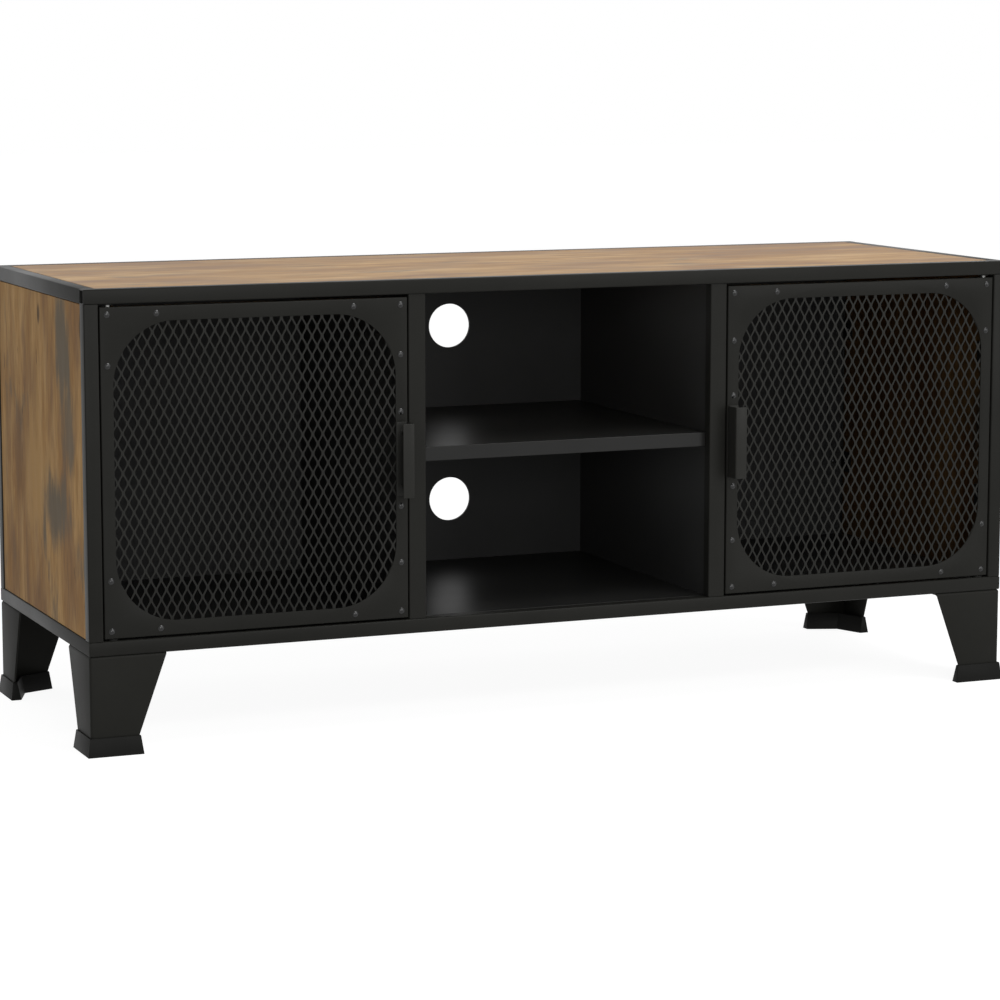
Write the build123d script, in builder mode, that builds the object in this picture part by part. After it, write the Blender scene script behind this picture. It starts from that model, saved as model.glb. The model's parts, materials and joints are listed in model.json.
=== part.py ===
"""Low television stand: steel tube frame, rustic boards and two mesh doors.

Millimetres. X runs to the right, Y to the back and Z up. The origin is on the floor,
under the middle of the overall box, handles and flared feet included.
"""

import math
import os

from build123d import *

# Overall carcass, without handles and without the flare of the feet
width = 1050.0
depth = 360.0
height = 470.0
leg_height = 102.0

# Square steel tube of the frame
tube = 15.0
tube_wall = 1.2
tube_corner = 1.5
plug_length = 8.0
plug_recess = 1.5
plug_fit = 0.1

# Boards that are set into the frame
panel_thickness = 12.0
panel_recess = 1.0
panel_gap = 0.5
panel_edge = 0.5
back_thickness = 3.0
cable_hole_radius = 25.0
cable_hole_drop = 67.5
cable_hole_rise = 70.5

# Middle niche: dividers, their front channels and the shelf
niche_width = 326.0
divider_thickness = 16.0
channel_sheet = 1.5
channel_depth = 12.0
channel_setback = 1.5
channel_bend = 1.5
channel_end_gap = 0.3
shelf_thickness = 15.0
shelf_rise = 163.0
shelf_setback = 12.0
shelf_gap = 0.2
shelf_back_gap = 1.0
shelf_pin_radius = 2.5
shelf_pin_reach = 7.0
shelf_pin_depth = 9.0
shelf_pin_spacing = 220.0

# Sheet tabs that carry the boards
tab_thickness = 1.5
tab_reach = 20.0
tab_width = 24.0
tab_spacing_along_width = 600.0
tab_spacing_along_depth = 140.0
tab_spacing_along_height = 160.0

# Fasteners
fit = 0.05
screw_radius = 1.6
screw_head_radius = 3.2
screw_head_height = 1.6
board_bite = 8.5
edge_bite = 16.0
back_screw_end = 3.0
dowel_radius = 3.0
dowel_depth_in_top = 8.0
dowel_depth_in_divider = 16.0
divider_fastener_spacing = 240.0
back_screw_inset = 57.5
leg_screw_radius = 2.4
leg_screw_head_radius = 4.5
leg_screw_head_height = 2.6
leg_screw_end = 4.0
leg_screw_inset = 55.0

# Legs and foot caps
leg_sheet = 2.0
leg_top_width = 80.5
leg_neck_width = 50.5
leg_corner = 3.0
leg_top_bend = 2.5
leg_flange_width = 30.0
foot_height = 19.0
foot_sole = 3.0
foot_wall = 1.3
foot_flare = 4.0
foot_end_flare = 2.5
foot_sole_width = 7.0
foot_elbow = 20.0
foot_fit = 0.1

# Doors
door_side_gap = 1.4
door_top_gap = 3.0
door_bottom_gap = 2.0
door_recess = 1.0
door_depth = 14.0
door_sheet = 1.0
door_bend = 1.2
window_side_inset = 13.0
window_end_inset = 15.0
window_radius = 65.0

# Expanded-metal mesh behind each window, drawn coarser than the real 10.8 by 20 diamonds
mesh_pitch_x = 19.5
mesh_pitch_z = 36.0
mesh_strand = 2.6
mesh_thickness = 1.0
mesh_overlap = 2.0
mesh_edge_gap = 0.5

# Domed rivets of the doors
rivet_inset = 7.5
rivet_step = 51.0
rivet_handle_offset = 49.0
rivet_radius = 1.6
rivet_head_radius = 3.2
rivet_head_height = 1.5
rivet_tail_radius = 2.4
rivet_tail_height = 1.0

# Folded pull handles
handle_width = 13.0
handle_reach = 21.5
handle_length = 77.0
handle_sheet = 1.5
handle_bend = 2.2
handle_rivet_spacing = 56.0
handle_rivet_head_radius = 2.6
handle_rivet_head_height = 0.9

# Door hinges: upright pins that turn in bushings in the frame
pin_inset = 9.5
pin_depth = 5.0
pin_radius = 2.5
pin_chamfer = 0.5
pin_reach = 7.0
pin_tail = 1.0
pin_running_gap = 0.05
pin_plate_thickness = 3.5
pin_plate_width = 16.0
pin_plate_depth = 8.0
pin_plate_gap = 0.3
bushing_radius = 4.0
bushing_length = 9.0
bushing_flange_radius = 5.5
bushing_upper_flange = 0.8
bushing_play = 0.3

# Magnet catches on the dividers
catch_width = 12.0
catch_depth = 15.0
catch_length = 30.0
catch_drop = 22.0
catch_gap = 0.3
catch_screw_spacing = 18.0
catch_screw_setback = 10.0
magnet_width = 8.0
magnet_depth = 4.0
magnet_length = 22.0
strike_thickness = 1.0

# Planes and levels that several pieces share
overall_depth = depth + handle_reach - door_recess + foot_flare
front_y = -overall_depth / 2 + handle_reach - door_recess
back_y = front_y + depth
middle_y = (front_y + back_y) / 2
half_width = width / 2
inner_x = half_width - tube
inner_front_y = front_y + tube
inner_back_y = back_y - tube
floor_z = leg_height + tube
under_top_rail_z = height - tube
middle_z = (floor_z + under_top_rail_z) / 2
under_top_panel_z = height - panel_thickness
under_bottom_panel_z = floor_z - panel_thickness
channel_width = divider_thickness + 2 * channel_sheet
divider_x = (niche_width + channel_width) / 2
divider_front_y = front_y + channel_setback + channel_sheet
side_panel_inner_x = half_width - panel_recess - panel_thickness
shelf_z = floor_z + shelf_rise

FROM_BELOW = (Align.CENTER, Align.CENTER, Align.MIN)
FROM_ABOVE = (Align.CENTER, Align.CENTER, Align.MAX)

os.makedirs("parts", exist_ok=True)


def spread(spacing, middle=0.0):
    """Two places, the given spacing apart, about a middle."""
    return (middle - spacing / 2, middle + spacing / 2)


def tube_section(start):
    """Hollow square section of the frame tube on a plane across the run."""
    bore = tube - 2 * tube_wall
    with BuildSketch(start) as section:
        RectangleRounded(tube, tube, tube_corner)
        RectangleRounded(bore, bore, tube_corner - tube_wall, mode=Mode.SUBTRACT)
    return section.sketch


def box_between(low, high, mode=Mode.ADD):
    """Box from its lowest to its highest corner."""
    size = [b - a for a, b in zip(low, high)]
    with Locations(tuple((a + b) / 2 for a, b in zip(low, high))):
        Box(*size, mode=mode)


def screws_at(seats, length):
    """Pan-head screws: each seat plane lies under a head and faces out of the work."""
    with Locations(*seats):
        Cylinder(screw_radius, length, align=FROM_ABOVE)
        Cylinder(screw_head_radius, screw_head_height, align=FROM_BELOW)


# Seats of the fasteners, each a plane that faces out of the work

tab_columns = spread(tab_spacing_along_width)
tab_rows = spread(tab_spacing_along_depth, middle_y)
tab_levels = spread(tab_spacing_along_height, middle_z)
side_signs = (-1, 1)
divider_fastener_rows = spread(divider_fastener_spacing, middle_y)


def level_seats(board_z):
    """Screw seats under the tabs of a level board, each with its X along the tab's reach."""
    z = board_z - tab_thickness
    seats = []
    for sign in side_signs:
        for y in tab_rows:
            seats.append(Plane((sign * (inner_x - tab_reach / 2), y, z), x_dir=(1, 0, 0), z_dir=(0, 0, -1)))
    for y in (inner_front_y + tab_reach / 2, inner_back_y - tab_reach / 2):
        for x in tab_columns:
            seats.append(Plane((x, y, z), x_dir=(0, 1, 0), z_dir=(0, 0, -1)))
    return seats


side_tab_x = side_panel_inner_x - tab_thickness
side_tab_rows = (inner_front_y + tab_reach / 2, inner_back_y - tab_reach / 2)
back_tab_x = inner_x - tab_reach / 2
back_rear_y = inner_back_y + back_thickness


def side_seats(sign):
    """Screw seats on the tabs that hold one side board."""
    return [
        Plane((sign * side_tab_x, y, z), x_dir=(0, 1, 0), z_dir=(-sign, 0, 0))
        for y in side_tab_rows
        for z in tab_levels
    ]


back_tab_seats = [
    Plane((sign * back_tab_x, inner_back_y, z), x_dir=(1, 0, 0), z_dir=(0, -1, 0))
    for sign in side_signs
    for z in tab_levels
]
back_divider_seats = [
    Plane((sign * divider_x, back_rear_y, z), z_dir=(0, 1, 0))
    for sign in side_signs
    for z in (floor_z + back_screw_inset, middle_z, under_top_rail_z - back_screw_inset)
]
divider_screw_seats = [
    Plane((sign * divider_x, y, under_bottom_panel_z), z_dir=(0, 0, -1))
    for sign in side_signs
    for y in divider_fastener_rows
]
dowel_seats = [
    Plane((sign * divider_x, y, under_top_panel_z), z_dir=(0, 0, 1))
    for sign in side_signs
    for y in divider_fastener_rows
]
shelf_pin_seats = [
    Plane((sign * (divider_x - divider_thickness / 2), y, shelf_z - shelf_pin_radius), z_dir=(-sign, 0, 0))
    for sign in side_signs
    for y in spread(shelf_pin_spacing, middle_y)
]
leg_corners = [
    (x_sign * half_width, y, -x_sign, y_way)
    for x_sign in side_signs
    for y, y_way in ((front_y, 1), (back_y, -1))
]
long_rail_leg_seats = [
    Plane((x + x_way * leg_screw_inset, y + y_way * tube / 2, leg_height - leg_sheet), z_dir=(0, 0, -1))
    for x, y, x_way, y_way in leg_corners
]
side_rail_leg_seats = [
    Plane((x + x_way * tube / 2, y + y_way * leg_screw_inset, leg_height - leg_sheet), z_dir=(0, 0, -1))
    for x, y, x_way, y_way in leg_corners
]

# Places of the doors and their hinges, given for the left door

door_outer_x = -(inner_x - door_side_gap)
door_free_x = -(divider_x + channel_width / 2 + door_side_gap)
door_bottom_z = floor_z + door_bottom_gap
door_top_z = under_top_rail_z - door_top_gap
door_width = door_free_x - door_outer_x
door_height = door_top_z - door_bottom_z
door_x = (door_outer_x + door_free_x) / 2
door_z = (door_bottom_z + door_top_z) / 2
door_front_y = front_y + door_recess
door_rear_y = door_front_y + door_depth
door_face = Plane((door_x, door_front_y, door_z), x_dir=(1, 0, 0), z_dir=(0, -1, 0))
pin_x = door_outer_x + pin_inset
pin_y = door_front_y + pin_depth
window_width = door_width - 2 * window_side_inset
window_height = door_height - 2 * window_end_inset
rivet_x = door_width / 2 - rivet_inset
rivet_z = door_height / 2 - rivet_inset
hinge_spots = [(sign * pin_x, pin_y) for sign in side_signs]
rivet_spots = [
    (sx * x, sz * z)
    for sx in side_signs
    for sz in side_signs
    for x, z in (
        (rivet_x, rivet_z),
        (rivet_x - rivet_step, rivet_z),
        (rivet_x, rivet_z - rivet_step),
    )
] + [(rivet_x, z) for z in spread(2 * rivet_handle_offset)]
handle_rivet_x = door_width / 2 - handle_width / 2
handle_rivet_spots = [(handle_rivet_x, z) for z in spread(handle_rivet_spacing)]

# Places of the magnet catches on the outer faces of the dividers, behind the doors

catch_front_y = door_rear_y + catch_gap
catch_z = door_top_z - catch_drop
catch_inner_x = divider_x + divider_thickness / 2
catch_screw_seats = [
    Plane(
        (sign * (catch_inner_x + catch_width), catch_front_y + catch_screw_setback, z),
        z_dir=(sign, 0, 0),
    )
    for sign in side_signs
    for z in spread(catch_screw_spacing, catch_z)
]
catch_faces = [
    Plane(
        (sign * (catch_inner_x + catch_width / 2), catch_front_y, catch_z),
        x_dir=(1, 0, 0),
        z_dir=(0, -1, 0),
    )
    for sign in side_signs
]

# Welded frame: top rails

with BuildPart() as top_front_rail:
    extrude(
        tube_section(Plane((-half_width, front_y + tube / 2, height - tube / 2), z_dir=(1, 0, 0))),
        amount=width,
    )
    with Locations(*[Plane((x, y, under_top_rail_z), z_dir=(0, 0, -1)) for x, y in hinge_spots]):
        Hole(bushing_radius + fit, depth=tube_wall)
top_front_rail.part.label = "top_front_rail"
export_step(top_front_rail.part, "parts/top_front_rail.step")

with BuildPart() as top_rear_rail:
    extrude(
        tube_section(Plane((-half_width, back_y - tube / 2, height - tube / 2), z_dir=(1, 0, 0))),
        amount=width,
    )
top_rear_rail.part.label = "top_rear_rail"
export_step(top_rear_rail.part, "parts/top_rear_rail.step")

for side, sign in (("left", -1), ("right", 1)):
    rail_x = sign * (half_width - tube / 2)
    with BuildPart() as top_side_rail:
        extrude(
            tube_section(Plane((rail_x, inner_front_y, height - tube / 2), z_dir=(0, 1, 0))),
            amount=inner_back_y - inner_front_y,
        )
    top_side_rail.part.label = f"top_{side}_rail"
    export_step(top_side_rail.part, f"parts/top_{side}_rail.step")

with BuildPart() as rail_end_plugs:
    plug_size = tube - 2 * tube_wall - 2 * plug_fit
    for sign in side_signs:
        for plug_y in (front_y + tube / 2, back_y - tube / 2):
            plug_x = sign * (half_width - plug_recess)
            with BuildSketch(Plane((plug_x, plug_y, height - tube / 2), z_dir=(-sign, 0, 0))):
                Rectangle(plug_size, plug_size)
    extrude(amount=plug_length)
rail_end_plugs.part.label = "rail_end_plugs"
export_step(rail_end_plugs.part, "parts/rail_end_plugs.step")

# Welded frame: posts

for end, post_y in (("front", front_y + tube / 2), ("rear", back_y - tube / 2)):
    for side, sign in (("left", -1), ("right", 1)):
        with BuildPart() as post:
            extrude(
                tube_section(Plane((sign * (half_width - tube / 2), post_y, floor_z))),
                amount=under_top_rail_z - floor_z,
            )
        post.part.label = f"{end}_{side}_post"
        export_step(post.part, f"parts/{end}_{side}_post.step")

# Welded frame: bottom rails, mitred where they meet

mitre_cuts = {
    (x_sign, y_sign): Plane((x_sign * half_width, y, 0), z_dir=(x_sign, -y_sign, 0))
    for x_sign in side_signs
    for y_sign, y in ((-1, front_y), (1, back_y))
}
bottom_rail_z = leg_height + tube / 2

for end, y_sign, rail_y in (("front", -1, front_y + tube / 2), ("rear", 1, back_y - tube / 2)):
    with BuildPart() as bottom_long_rail:
        extrude(tube_section(Plane((-half_width, rail_y, bottom_rail_z), z_dir=(1, 0, 0))), amount=width)
        split(bisect_by=mitre_cuts[(-1, y_sign)], keep=Keep.BOTTOM)
        split(bisect_by=mitre_cuts[(1, y_sign)], keep=Keep.BOTTOM)
        with Locations(*[seat for seat in long_rail_leg_seats if seat.origin.Y * y_sign > 0]):
            Hole(leg_screw_radius + fit, depth=leg_sheet + tube_wall)
        if end == "front":
            with Locations(*[Plane((x, y, floor_z)) for x, y in hinge_spots]):
                Hole(bushing_radius + fit, depth=tube_wall)
    bottom_long_rail.part.label = f"bottom_{end}_rail"
    export_step(bottom_long_rail.part, f"parts/bottom_{end}_rail.step")

for side, sign in (("left", -1), ("right", 1)):
    rail_x = sign * (half_width - tube / 2)
    with BuildPart() as bottom_side_rail:
        extrude(tube_section(Plane((rail_x, front_y, bottom_rail_z), z_dir=(0, 1, 0))), amount=depth)
        split(bisect_by=mitre_cuts[(sign, -1)], keep=Keep.TOP)
        split(bisect_by=mitre_cuts[(sign, 1)], keep=Keep.TOP)
        with Locations(*[seat for seat in side_rail_leg_seats if seat.origin.X * sign > 0]):
            Hole(leg_screw_radius + fit, depth=leg_sheet + tube_wall)
    bottom_side_rail.part.label = f"bottom_{side}_rail"
    export_step(bottom_side_rail.part, f"parts/bottom_{side}_rail.step")

# Sheet tabs, welded by one edge to the frame, and the screws that go through them

board_tab_seats = [
    *level_seats(under_top_panel_z),
    *level_seats(under_bottom_panel_z),
    *side_seats(-1),
    *side_seats(1),
]

with BuildPart() as panel_tabs:
    with Locations(*board_tab_seats, *[seat.offset(-back_thickness) for seat in back_tab_seats]):
        Box(tab_reach, tab_width, tab_thickness, align=FROM_ABOVE)
        Hole(screw_radius + fit, depth=tab_thickness)
panel_tabs.part.label = "panel_tabs"
export_step(panel_tabs.part, "parts/panel_tabs.step")

with BuildPart() as panel_screws:
    screws_at(board_tab_seats, tab_thickness + board_bite)
panel_screws.part.label = "panel_screws"
export_step(panel_screws.part, "parts/panel_screws.step")

# Boards set into the frame

panel_low = (-inner_x + panel_gap, inner_front_y + panel_gap)
panel_high = (inner_x - panel_gap, inner_back_y - panel_gap)

with BuildPart() as top_panel:
    box_between((*panel_low, under_top_panel_z), (*panel_high, height))
    fillet(top_panel.edges(), panel_edge)
    with Locations(*level_seats(under_top_panel_z)):
        Hole(screw_radius + fit, depth=tab_thickness + board_bite + fit)
    with Locations(*[Plane(seat.origin, z_dir=(0, 0, -1)) for seat in dowel_seats]):
        Hole(dowel_radius + fit, depth=dowel_depth_in_top + fit)
top_panel.part.label = "top_panel"
export_step(top_panel.part, "parts/top_panel.step")

with BuildPart() as bottom_panel:
    box_between((*panel_low, under_bottom_panel_z), (*panel_high, floor_z))
    fillet(bottom_panel.edges(), panel_edge)
    with Locations(*level_seats(under_bottom_panel_z)):
        Hole(screw_radius + fit, depth=tab_thickness + board_bite + fit)
    with Locations(*divider_screw_seats):
        Hole(screw_radius + fit, depth=panel_thickness)
bottom_panel.part.label = "bottom_panel"
export_step(bottom_panel.part, "parts/bottom_panel.step")

for side, sign in (("left", -1), ("right", 1)):
    outer_x = half_width - panel_recess
    board_x = sorted((sign * side_panel_inner_x, sign * outer_x))
    with BuildPart() as side_panel:
        box_between(
            (board_x[0], panel_low[1], floor_z + panel_gap),
            (board_x[1], panel_high[1], under_top_rail_z - panel_gap),
        )
        fillet(side_panel.edges(), panel_edge)
        with Locations(*side_seats(sign)):
            Hole(screw_radius + fit, depth=tab_thickness + board_bite + fit)
    side_panel.part.label = f"{side}_side_panel"
    export_step(side_panel.part, f"parts/{side}_side_panel.step")

with BuildPart() as back_panel:
    box_between(
        (-inner_x + panel_gap, inner_back_y, floor_z),
        (inner_x - panel_gap, back_rear_y, under_top_rail_z - panel_gap),
    )
    for hole_z in (under_top_rail_z - cable_hole_drop, floor_z + cable_hole_rise):
        with Locations(Plane((0, back_rear_y, hole_z), z_dir=(0, 1, 0))):
            Hole(cable_hole_radius, depth=back_thickness)
    with Locations(*back_tab_seats, *back_divider_seats):
        Hole(screw_radius + fit, depth=back_thickness)
back_panel.part.label = "back_panel"
export_step(back_panel.part, "parts/back_panel.step")

with BuildPart() as back_panel_screws:
    screws_at(back_tab_seats, back_thickness + tab_thickness + back_screw_end)
    screws_at(back_divider_seats, back_thickness + edge_bite)
back_panel_screws.part.label = "back_panel_screws"
export_step(back_panel_screws.part, "parts/back_panel_screws.step")

# Middle niche

for side, sign in (("left", -1), ("right", 1)):
    board_x = spread(divider_thickness, sign * divider_x)
    with BuildPart() as divider:
        box_between(
            (board_x[0], divider_front_y, floor_z),
            (board_x[1], inner_back_y, under_top_panel_z),
        )
        box_between(
            (board_x[0], divider_front_y, under_top_rail_z),
            (board_x[1], inner_front_y, under_top_panel_z),
            mode=Mode.SUBTRACT,
        )
        with Locations(*[seat for seat in shelf_pin_seats if seat.origin.X * sign > 0]):
            Hole(shelf_pin_radius + fit, depth=shelf_pin_depth + fit)
        with Locations(*[seat for seat in dowel_seats if seat.origin.X * sign > 0]):
            Hole(dowel_radius + fit, depth=dowel_depth_in_divider + fit)
        with Locations(*[seat for seat in divider_screw_seats if seat.origin.X * sign > 0]):
            Hole(screw_radius + fit, depth=panel_thickness + edge_bite + fit)
        with Locations(*[seat for seat in back_divider_seats if seat.origin.X * sign > 0]):
            Hole(screw_radius + fit, depth=back_thickness + edge_bite + fit)
        with Locations(*[seat for seat in catch_screw_seats if seat.origin.X * sign > 0]):
            Hole(screw_radius + fit, depth=catch_width + board_bite + fit)
    divider.part.label = f"{side}_divider"
    export_step(divider.part, f"parts/{side}_divider.step")

    channel_front_y = front_y + channel_setback
    with BuildPart() as divider_channel:
        with BuildSketch(Plane((sign * divider_x, channel_front_y, floor_z + channel_end_gap))) as profile:
            Rectangle(channel_width, channel_depth, align=(Align.CENTER, Align.MIN))
            fillet(profile.vertices().group_by(Axis.Y)[0], channel_bend)
            with Locations((0, channel_sheet)):
                Rectangle(
                    divider_thickness,
                    channel_depth - channel_sheet,
                    align=(Align.CENTER, Align.MIN),
                    mode=Mode.SUBTRACT,
                )
        extrude(amount=under_top_rail_z - floor_z - 2 * channel_end_gap)
    divider_channel.part.label = f"{side}_divider_channel"
    export_step(divider_channel.part, f"parts/{side}_divider_channel.step")

with BuildPart() as divider_screws:
    screws_at(divider_screw_seats, panel_thickness + edge_bite)
divider_screws.part.label = "divider_screws"
export_step(divider_screws.part, "parts/divider_screws.step")

with BuildPart() as divider_dowels:
    with Locations(*dowel_seats):
        Cylinder(dowel_radius, dowel_depth_in_top, align=FROM_BELOW)
        Cylinder(dowel_radius, dowel_depth_in_divider, align=FROM_ABOVE)
divider_dowels.part.label = "divider_dowels"
export_step(divider_dowels.part, "parts/divider_dowels.step")

with BuildPart() as middle_shelf:
    box_between(
        (-niche_width / 2 + shelf_gap, front_y + shelf_setback, shelf_z),
        (niche_width / 2 - shelf_gap, inner_back_y - shelf_back_gap, shelf_z + shelf_thickness),
    )
    fillet(middle_shelf.edges(), panel_edge)
middle_shelf.part.label = "middle_shelf"
export_step(middle_shelf.part, "parts/middle_shelf.step")

with BuildPart() as shelf_pins:
    with Locations(*shelf_pin_seats):
        Cylinder(shelf_pin_radius, shelf_pin_depth, align=FROM_ABOVE)
        Cylinder(shelf_pin_radius, shelf_pin_reach, align=FROM_BELOW)
shelf_pins.part.label = "shelf_pins"
export_step(shelf_pins.part, "parts/shelf_pins.step")

# Legs: two tapered plates folded to an L, with an inward flange under the rails

leg_taper = (leg_top_width - leg_neck_width) / (leg_height - foot_height)
leg_foot_width = leg_neck_width - leg_taper * (foot_height - foot_sole)
leg_corner_x, leg_corner_y = -half_width, front_y


def leg_plate(face):
    """Tapered outline of one leg plate, drawn from the outer corner inwards."""
    with BuildSketch(face) as plate:
        Polygon(
            (0, foot_sole),
            (leg_foot_width, foot_sole),
            (leg_top_width, leg_height),
            (0, leg_height),
            align=None,
        )
    return plate.sketch


with BuildPart() as front_left_leg:
    leg_origin = (leg_corner_x, leg_corner_y, 0)
    extrude(leg_plate(Plane(leg_origin, x_dir=(1, 0, 0), z_dir=(0, -1, 0))), amount=-leg_sheet)
    extrude(leg_plate(Plane(leg_origin, x_dir=(0, 1, 0), z_dir=(1, 0, 0))), amount=leg_sheet)
    with BuildSketch(Plane((leg_corner_x, leg_corner_y, leg_height - leg_sheet))):
        Polygon(
            (0, 0),
            (leg_top_width, 0),
            (leg_top_width, leg_flange_width),
            (leg_flange_width, leg_top_width),
            (0, leg_top_width),
            align=None,
        )
    extrude(amount=leg_sheet)
    outer_corner = front_left_leg.edges().filter_by(Axis.Z).sort_by_distance(leg_origin)[0]
    fillet(outer_corner, leg_corner)
    top_edges = front_left_leg.edges().group_by(Axis.Z)[-1]
    outer_top = [
        edge
        for edge in top_edges
        if min(edge.center().X - leg_corner_x, edge.center().Y - leg_corner_y) < leg_corner / 2
    ]
    fillet(outer_top, leg_top_bend)
    with Locations(long_rail_leg_seats[0], side_rail_leg_seats[0]):
        Hole(leg_screw_radius + fit, depth=leg_sheet)

# Foot cap: a flared boot that the lower ends of the plates stand in

cap_top_inner = leg_sheet + foot_wall
cap_top_end = leg_neck_width + foot_wall
cap_sole_end = cap_top_end + foot_end_flare
elbow_slope = (foot_elbow - foot_sole_width) / (cap_sole_end - foot_elbow)
cap_top_elbow = (cap_top_inner + elbow_slope * cap_top_end) / (1 + elbow_slope)


def boot_outline(level, outer, end, inner, elbow):
    """L-shaped outline of the boot at one level, drawn from the leg's outer corner."""
    with BuildSketch(Plane((leg_corner_x, leg_corner_y, level))) as outline:
        Polygon(
            (-outer, -outer),
            (end, -outer),
            (end, inner),
            (elbow, elbow),
            (inner, end),
            (-outer, end),
            align=None,
        )
    return outline.sketch


with BuildPart() as front_left_foot:
    loft(
        [
            boot_outline(0, foot_flare, cap_sole_end, foot_sole_width, foot_elbow),
            boot_outline(foot_height, foot_wall, cap_top_end, cap_top_inner, cap_top_elbow),
        ],
        ruled=True,
    )
    socket_inner = leg_sheet + foot_fit
    extrude(
        boot_outline(foot_sole, foot_fit, leg_neck_width + foot_fit, socket_inner, socket_inner),
        amount=foot_height - foot_sole,
        mode=Mode.SUBTRACT,
    )

front_back = Plane((0, middle_y, 0), x_dir=(1, 0, 0), z_dir=(0, -1, 0))

for piece, name in ((front_left_leg, "leg"), (front_left_foot, "foot")):
    with BuildPart() as front_right_copy:
        mirror(piece.part, about=Plane.YZ)
    with BuildPart() as rear_left_copy:
        mirror(piece.part, about=front_back)
    with BuildPart() as rear_right_copy:
        mirror(front_right_copy.part, about=front_back)
    for copy, corner in (
        (piece, "front_left"),
        (front_right_copy, "front_right"),
        (rear_left_copy, "rear_left"),
        (rear_right_copy, "rear_right"),
    ):
        copy.part.label = f"{corner}_{name}"
        export_step(copy.part, f"parts/{corner}_{name}.step")

with BuildPart() as leg_screws:
    with Locations(*long_rail_leg_seats, *side_rail_leg_seats):
        Cylinder(leg_screw_radius, leg_sheet + tube_wall + leg_screw_end, align=FROM_ABOVE)
        Cylinder(leg_screw_head_radius, leg_screw_head_height, align=FROM_BELOW)
leg_screws.part.label = "leg_screws"
export_step(leg_screws.part, "parts/leg_screws.step")

# Hinge bushings: flanged sleeves in the front rails, above and below each door's pins

with BuildPart() as hinge_bushings:
    for x, y in hinge_spots:
        with Locations((x, y, under_top_rail_z)):
            Cylinder(bushing_radius, bushing_length, align=FROM_BELOW)
            Cylinder(bushing_flange_radius, bushing_upper_flange, align=FROM_ABOVE)
        with Locations((x, y, floor_z)):
            Cylinder(bushing_radius, bushing_length, align=FROM_ABOVE)
            Cylinder(bushing_flange_radius, door_bottom_gap - bushing_play, align=FROM_BELOW)
    with Locations(*[(x, y, height) for x, y in hinge_spots]):
        Hole(pin_radius + pin_running_gap, depth=height - leg_height)
hinge_bushings.part.label = "hinge_bushings"
export_step(hinge_bushings.part, "parts/hinge_bushings.step")

# Magnet catches: a housing on the outer face of each divider, behind the door's free edge

with BuildPart() as catch_housings:
    with Locations(*catch_faces):
        Box(catch_width, catch_length, catch_depth, align=FROM_ABOVE)
        Box(
            magnet_width + 2 * fit,
            magnet_length + 2 * fit,
            magnet_depth + fit,
            align=FROM_ABOVE,
            mode=Mode.SUBTRACT,
        )
    with Locations(*catch_screw_seats):
        Hole(screw_radius + fit, depth=catch_width)
catch_housings.part.label = "catch_housings"
export_step(catch_housings.part, "parts/catch_housings.step")

with BuildPart() as catch_magnets:
    with Locations(*catch_faces):
        Box(magnet_width, magnet_length, magnet_depth, align=FROM_ABOVE)
catch_magnets.part.label = "catch_magnets"
export_step(catch_magnets.part, "parts/catch_magnets.step")

with BuildPart() as catch_screws:
    screws_at(catch_screw_seats, catch_width + board_bite)
catch_screws.part.label = "catch_screws"
export_step(catch_screws.part, "parts/catch_screws.step")

# Left door: folded pan with a rounded window

with BuildPart() as left_door_frame:
    with BuildSketch(door_face):
        Rectangle(door_width, door_height)
    extrude(amount=-door_depth)
    front_edges = left_door_frame.faces().sort_by(Axis.Y)[0].edges()
    fillet(front_edges, door_bend)
    with BuildSketch(door_face.offset(-door_sheet)):
        Rectangle(door_width - 2 * door_sheet, door_height - 2 * door_sheet)
    extrude(amount=-(door_depth - door_sheet), mode=Mode.SUBTRACT)
    with BuildSketch(door_face):
        RectangleRounded(window_width, window_height, window_radius)
    extrude(amount=-door_sheet, mode=Mode.SUBTRACT)
    with BuildSketch(door_face):
        with Locations(*rivet_spots, *handle_rivet_spots):
            Circle(rivet_radius + fit)
    extrude(amount=-door_sheet, mode=Mode.SUBTRACT)
    with Locations((pin_x, pin_y, door_top_z)):
        Hole(pin_radius + fit, depth=door_height)

# Left door: expanded-metal mesh, one sheet with a plain margin for the rivets

field_width = window_width + 2 * mesh_overlap
field_height = window_height + 2 * mesh_overlap
mesh_columns = 2 * round(field_width / mesh_pitch_x)
mesh_rows = 2 * round(field_height / mesh_pitch_z)
half_pitch_x = field_width / mesh_columns
half_pitch_z = field_height / mesh_rows
gap_share = 1 - mesh_strand / 2 * math.hypot(1 / half_pitch_x, 1 / half_pitch_z)


def in_window(x, z):
    """Whether a point, taken from the door's middle, lies in the rounded window."""
    over_x = max(abs(x) - (window_width / 2 - window_radius), 0)
    over_z = max(abs(z) - (window_height / 2 - window_radius), 0)
    return math.hypot(over_x, over_z) < window_radius


def mesh_gap(column, row):
    """Corners of one diamond gap, cut in half where it lies on the edge of the field."""
    x = (column - mesh_columns / 2) * half_pitch_x
    z = (row - mesh_rows / 2) * half_pitch_z
    corners = []
    if column > 0:
        corners.append((x - gap_share * half_pitch_x, z))
    if row > 0:
        corners.append((x, z - gap_share * half_pitch_z))
    if column < mesh_columns:
        corners.append((x + gap_share * half_pitch_x, z))
    if row < mesh_rows:
        corners.append((x, z + gap_share * half_pitch_z))
    return corners


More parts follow.
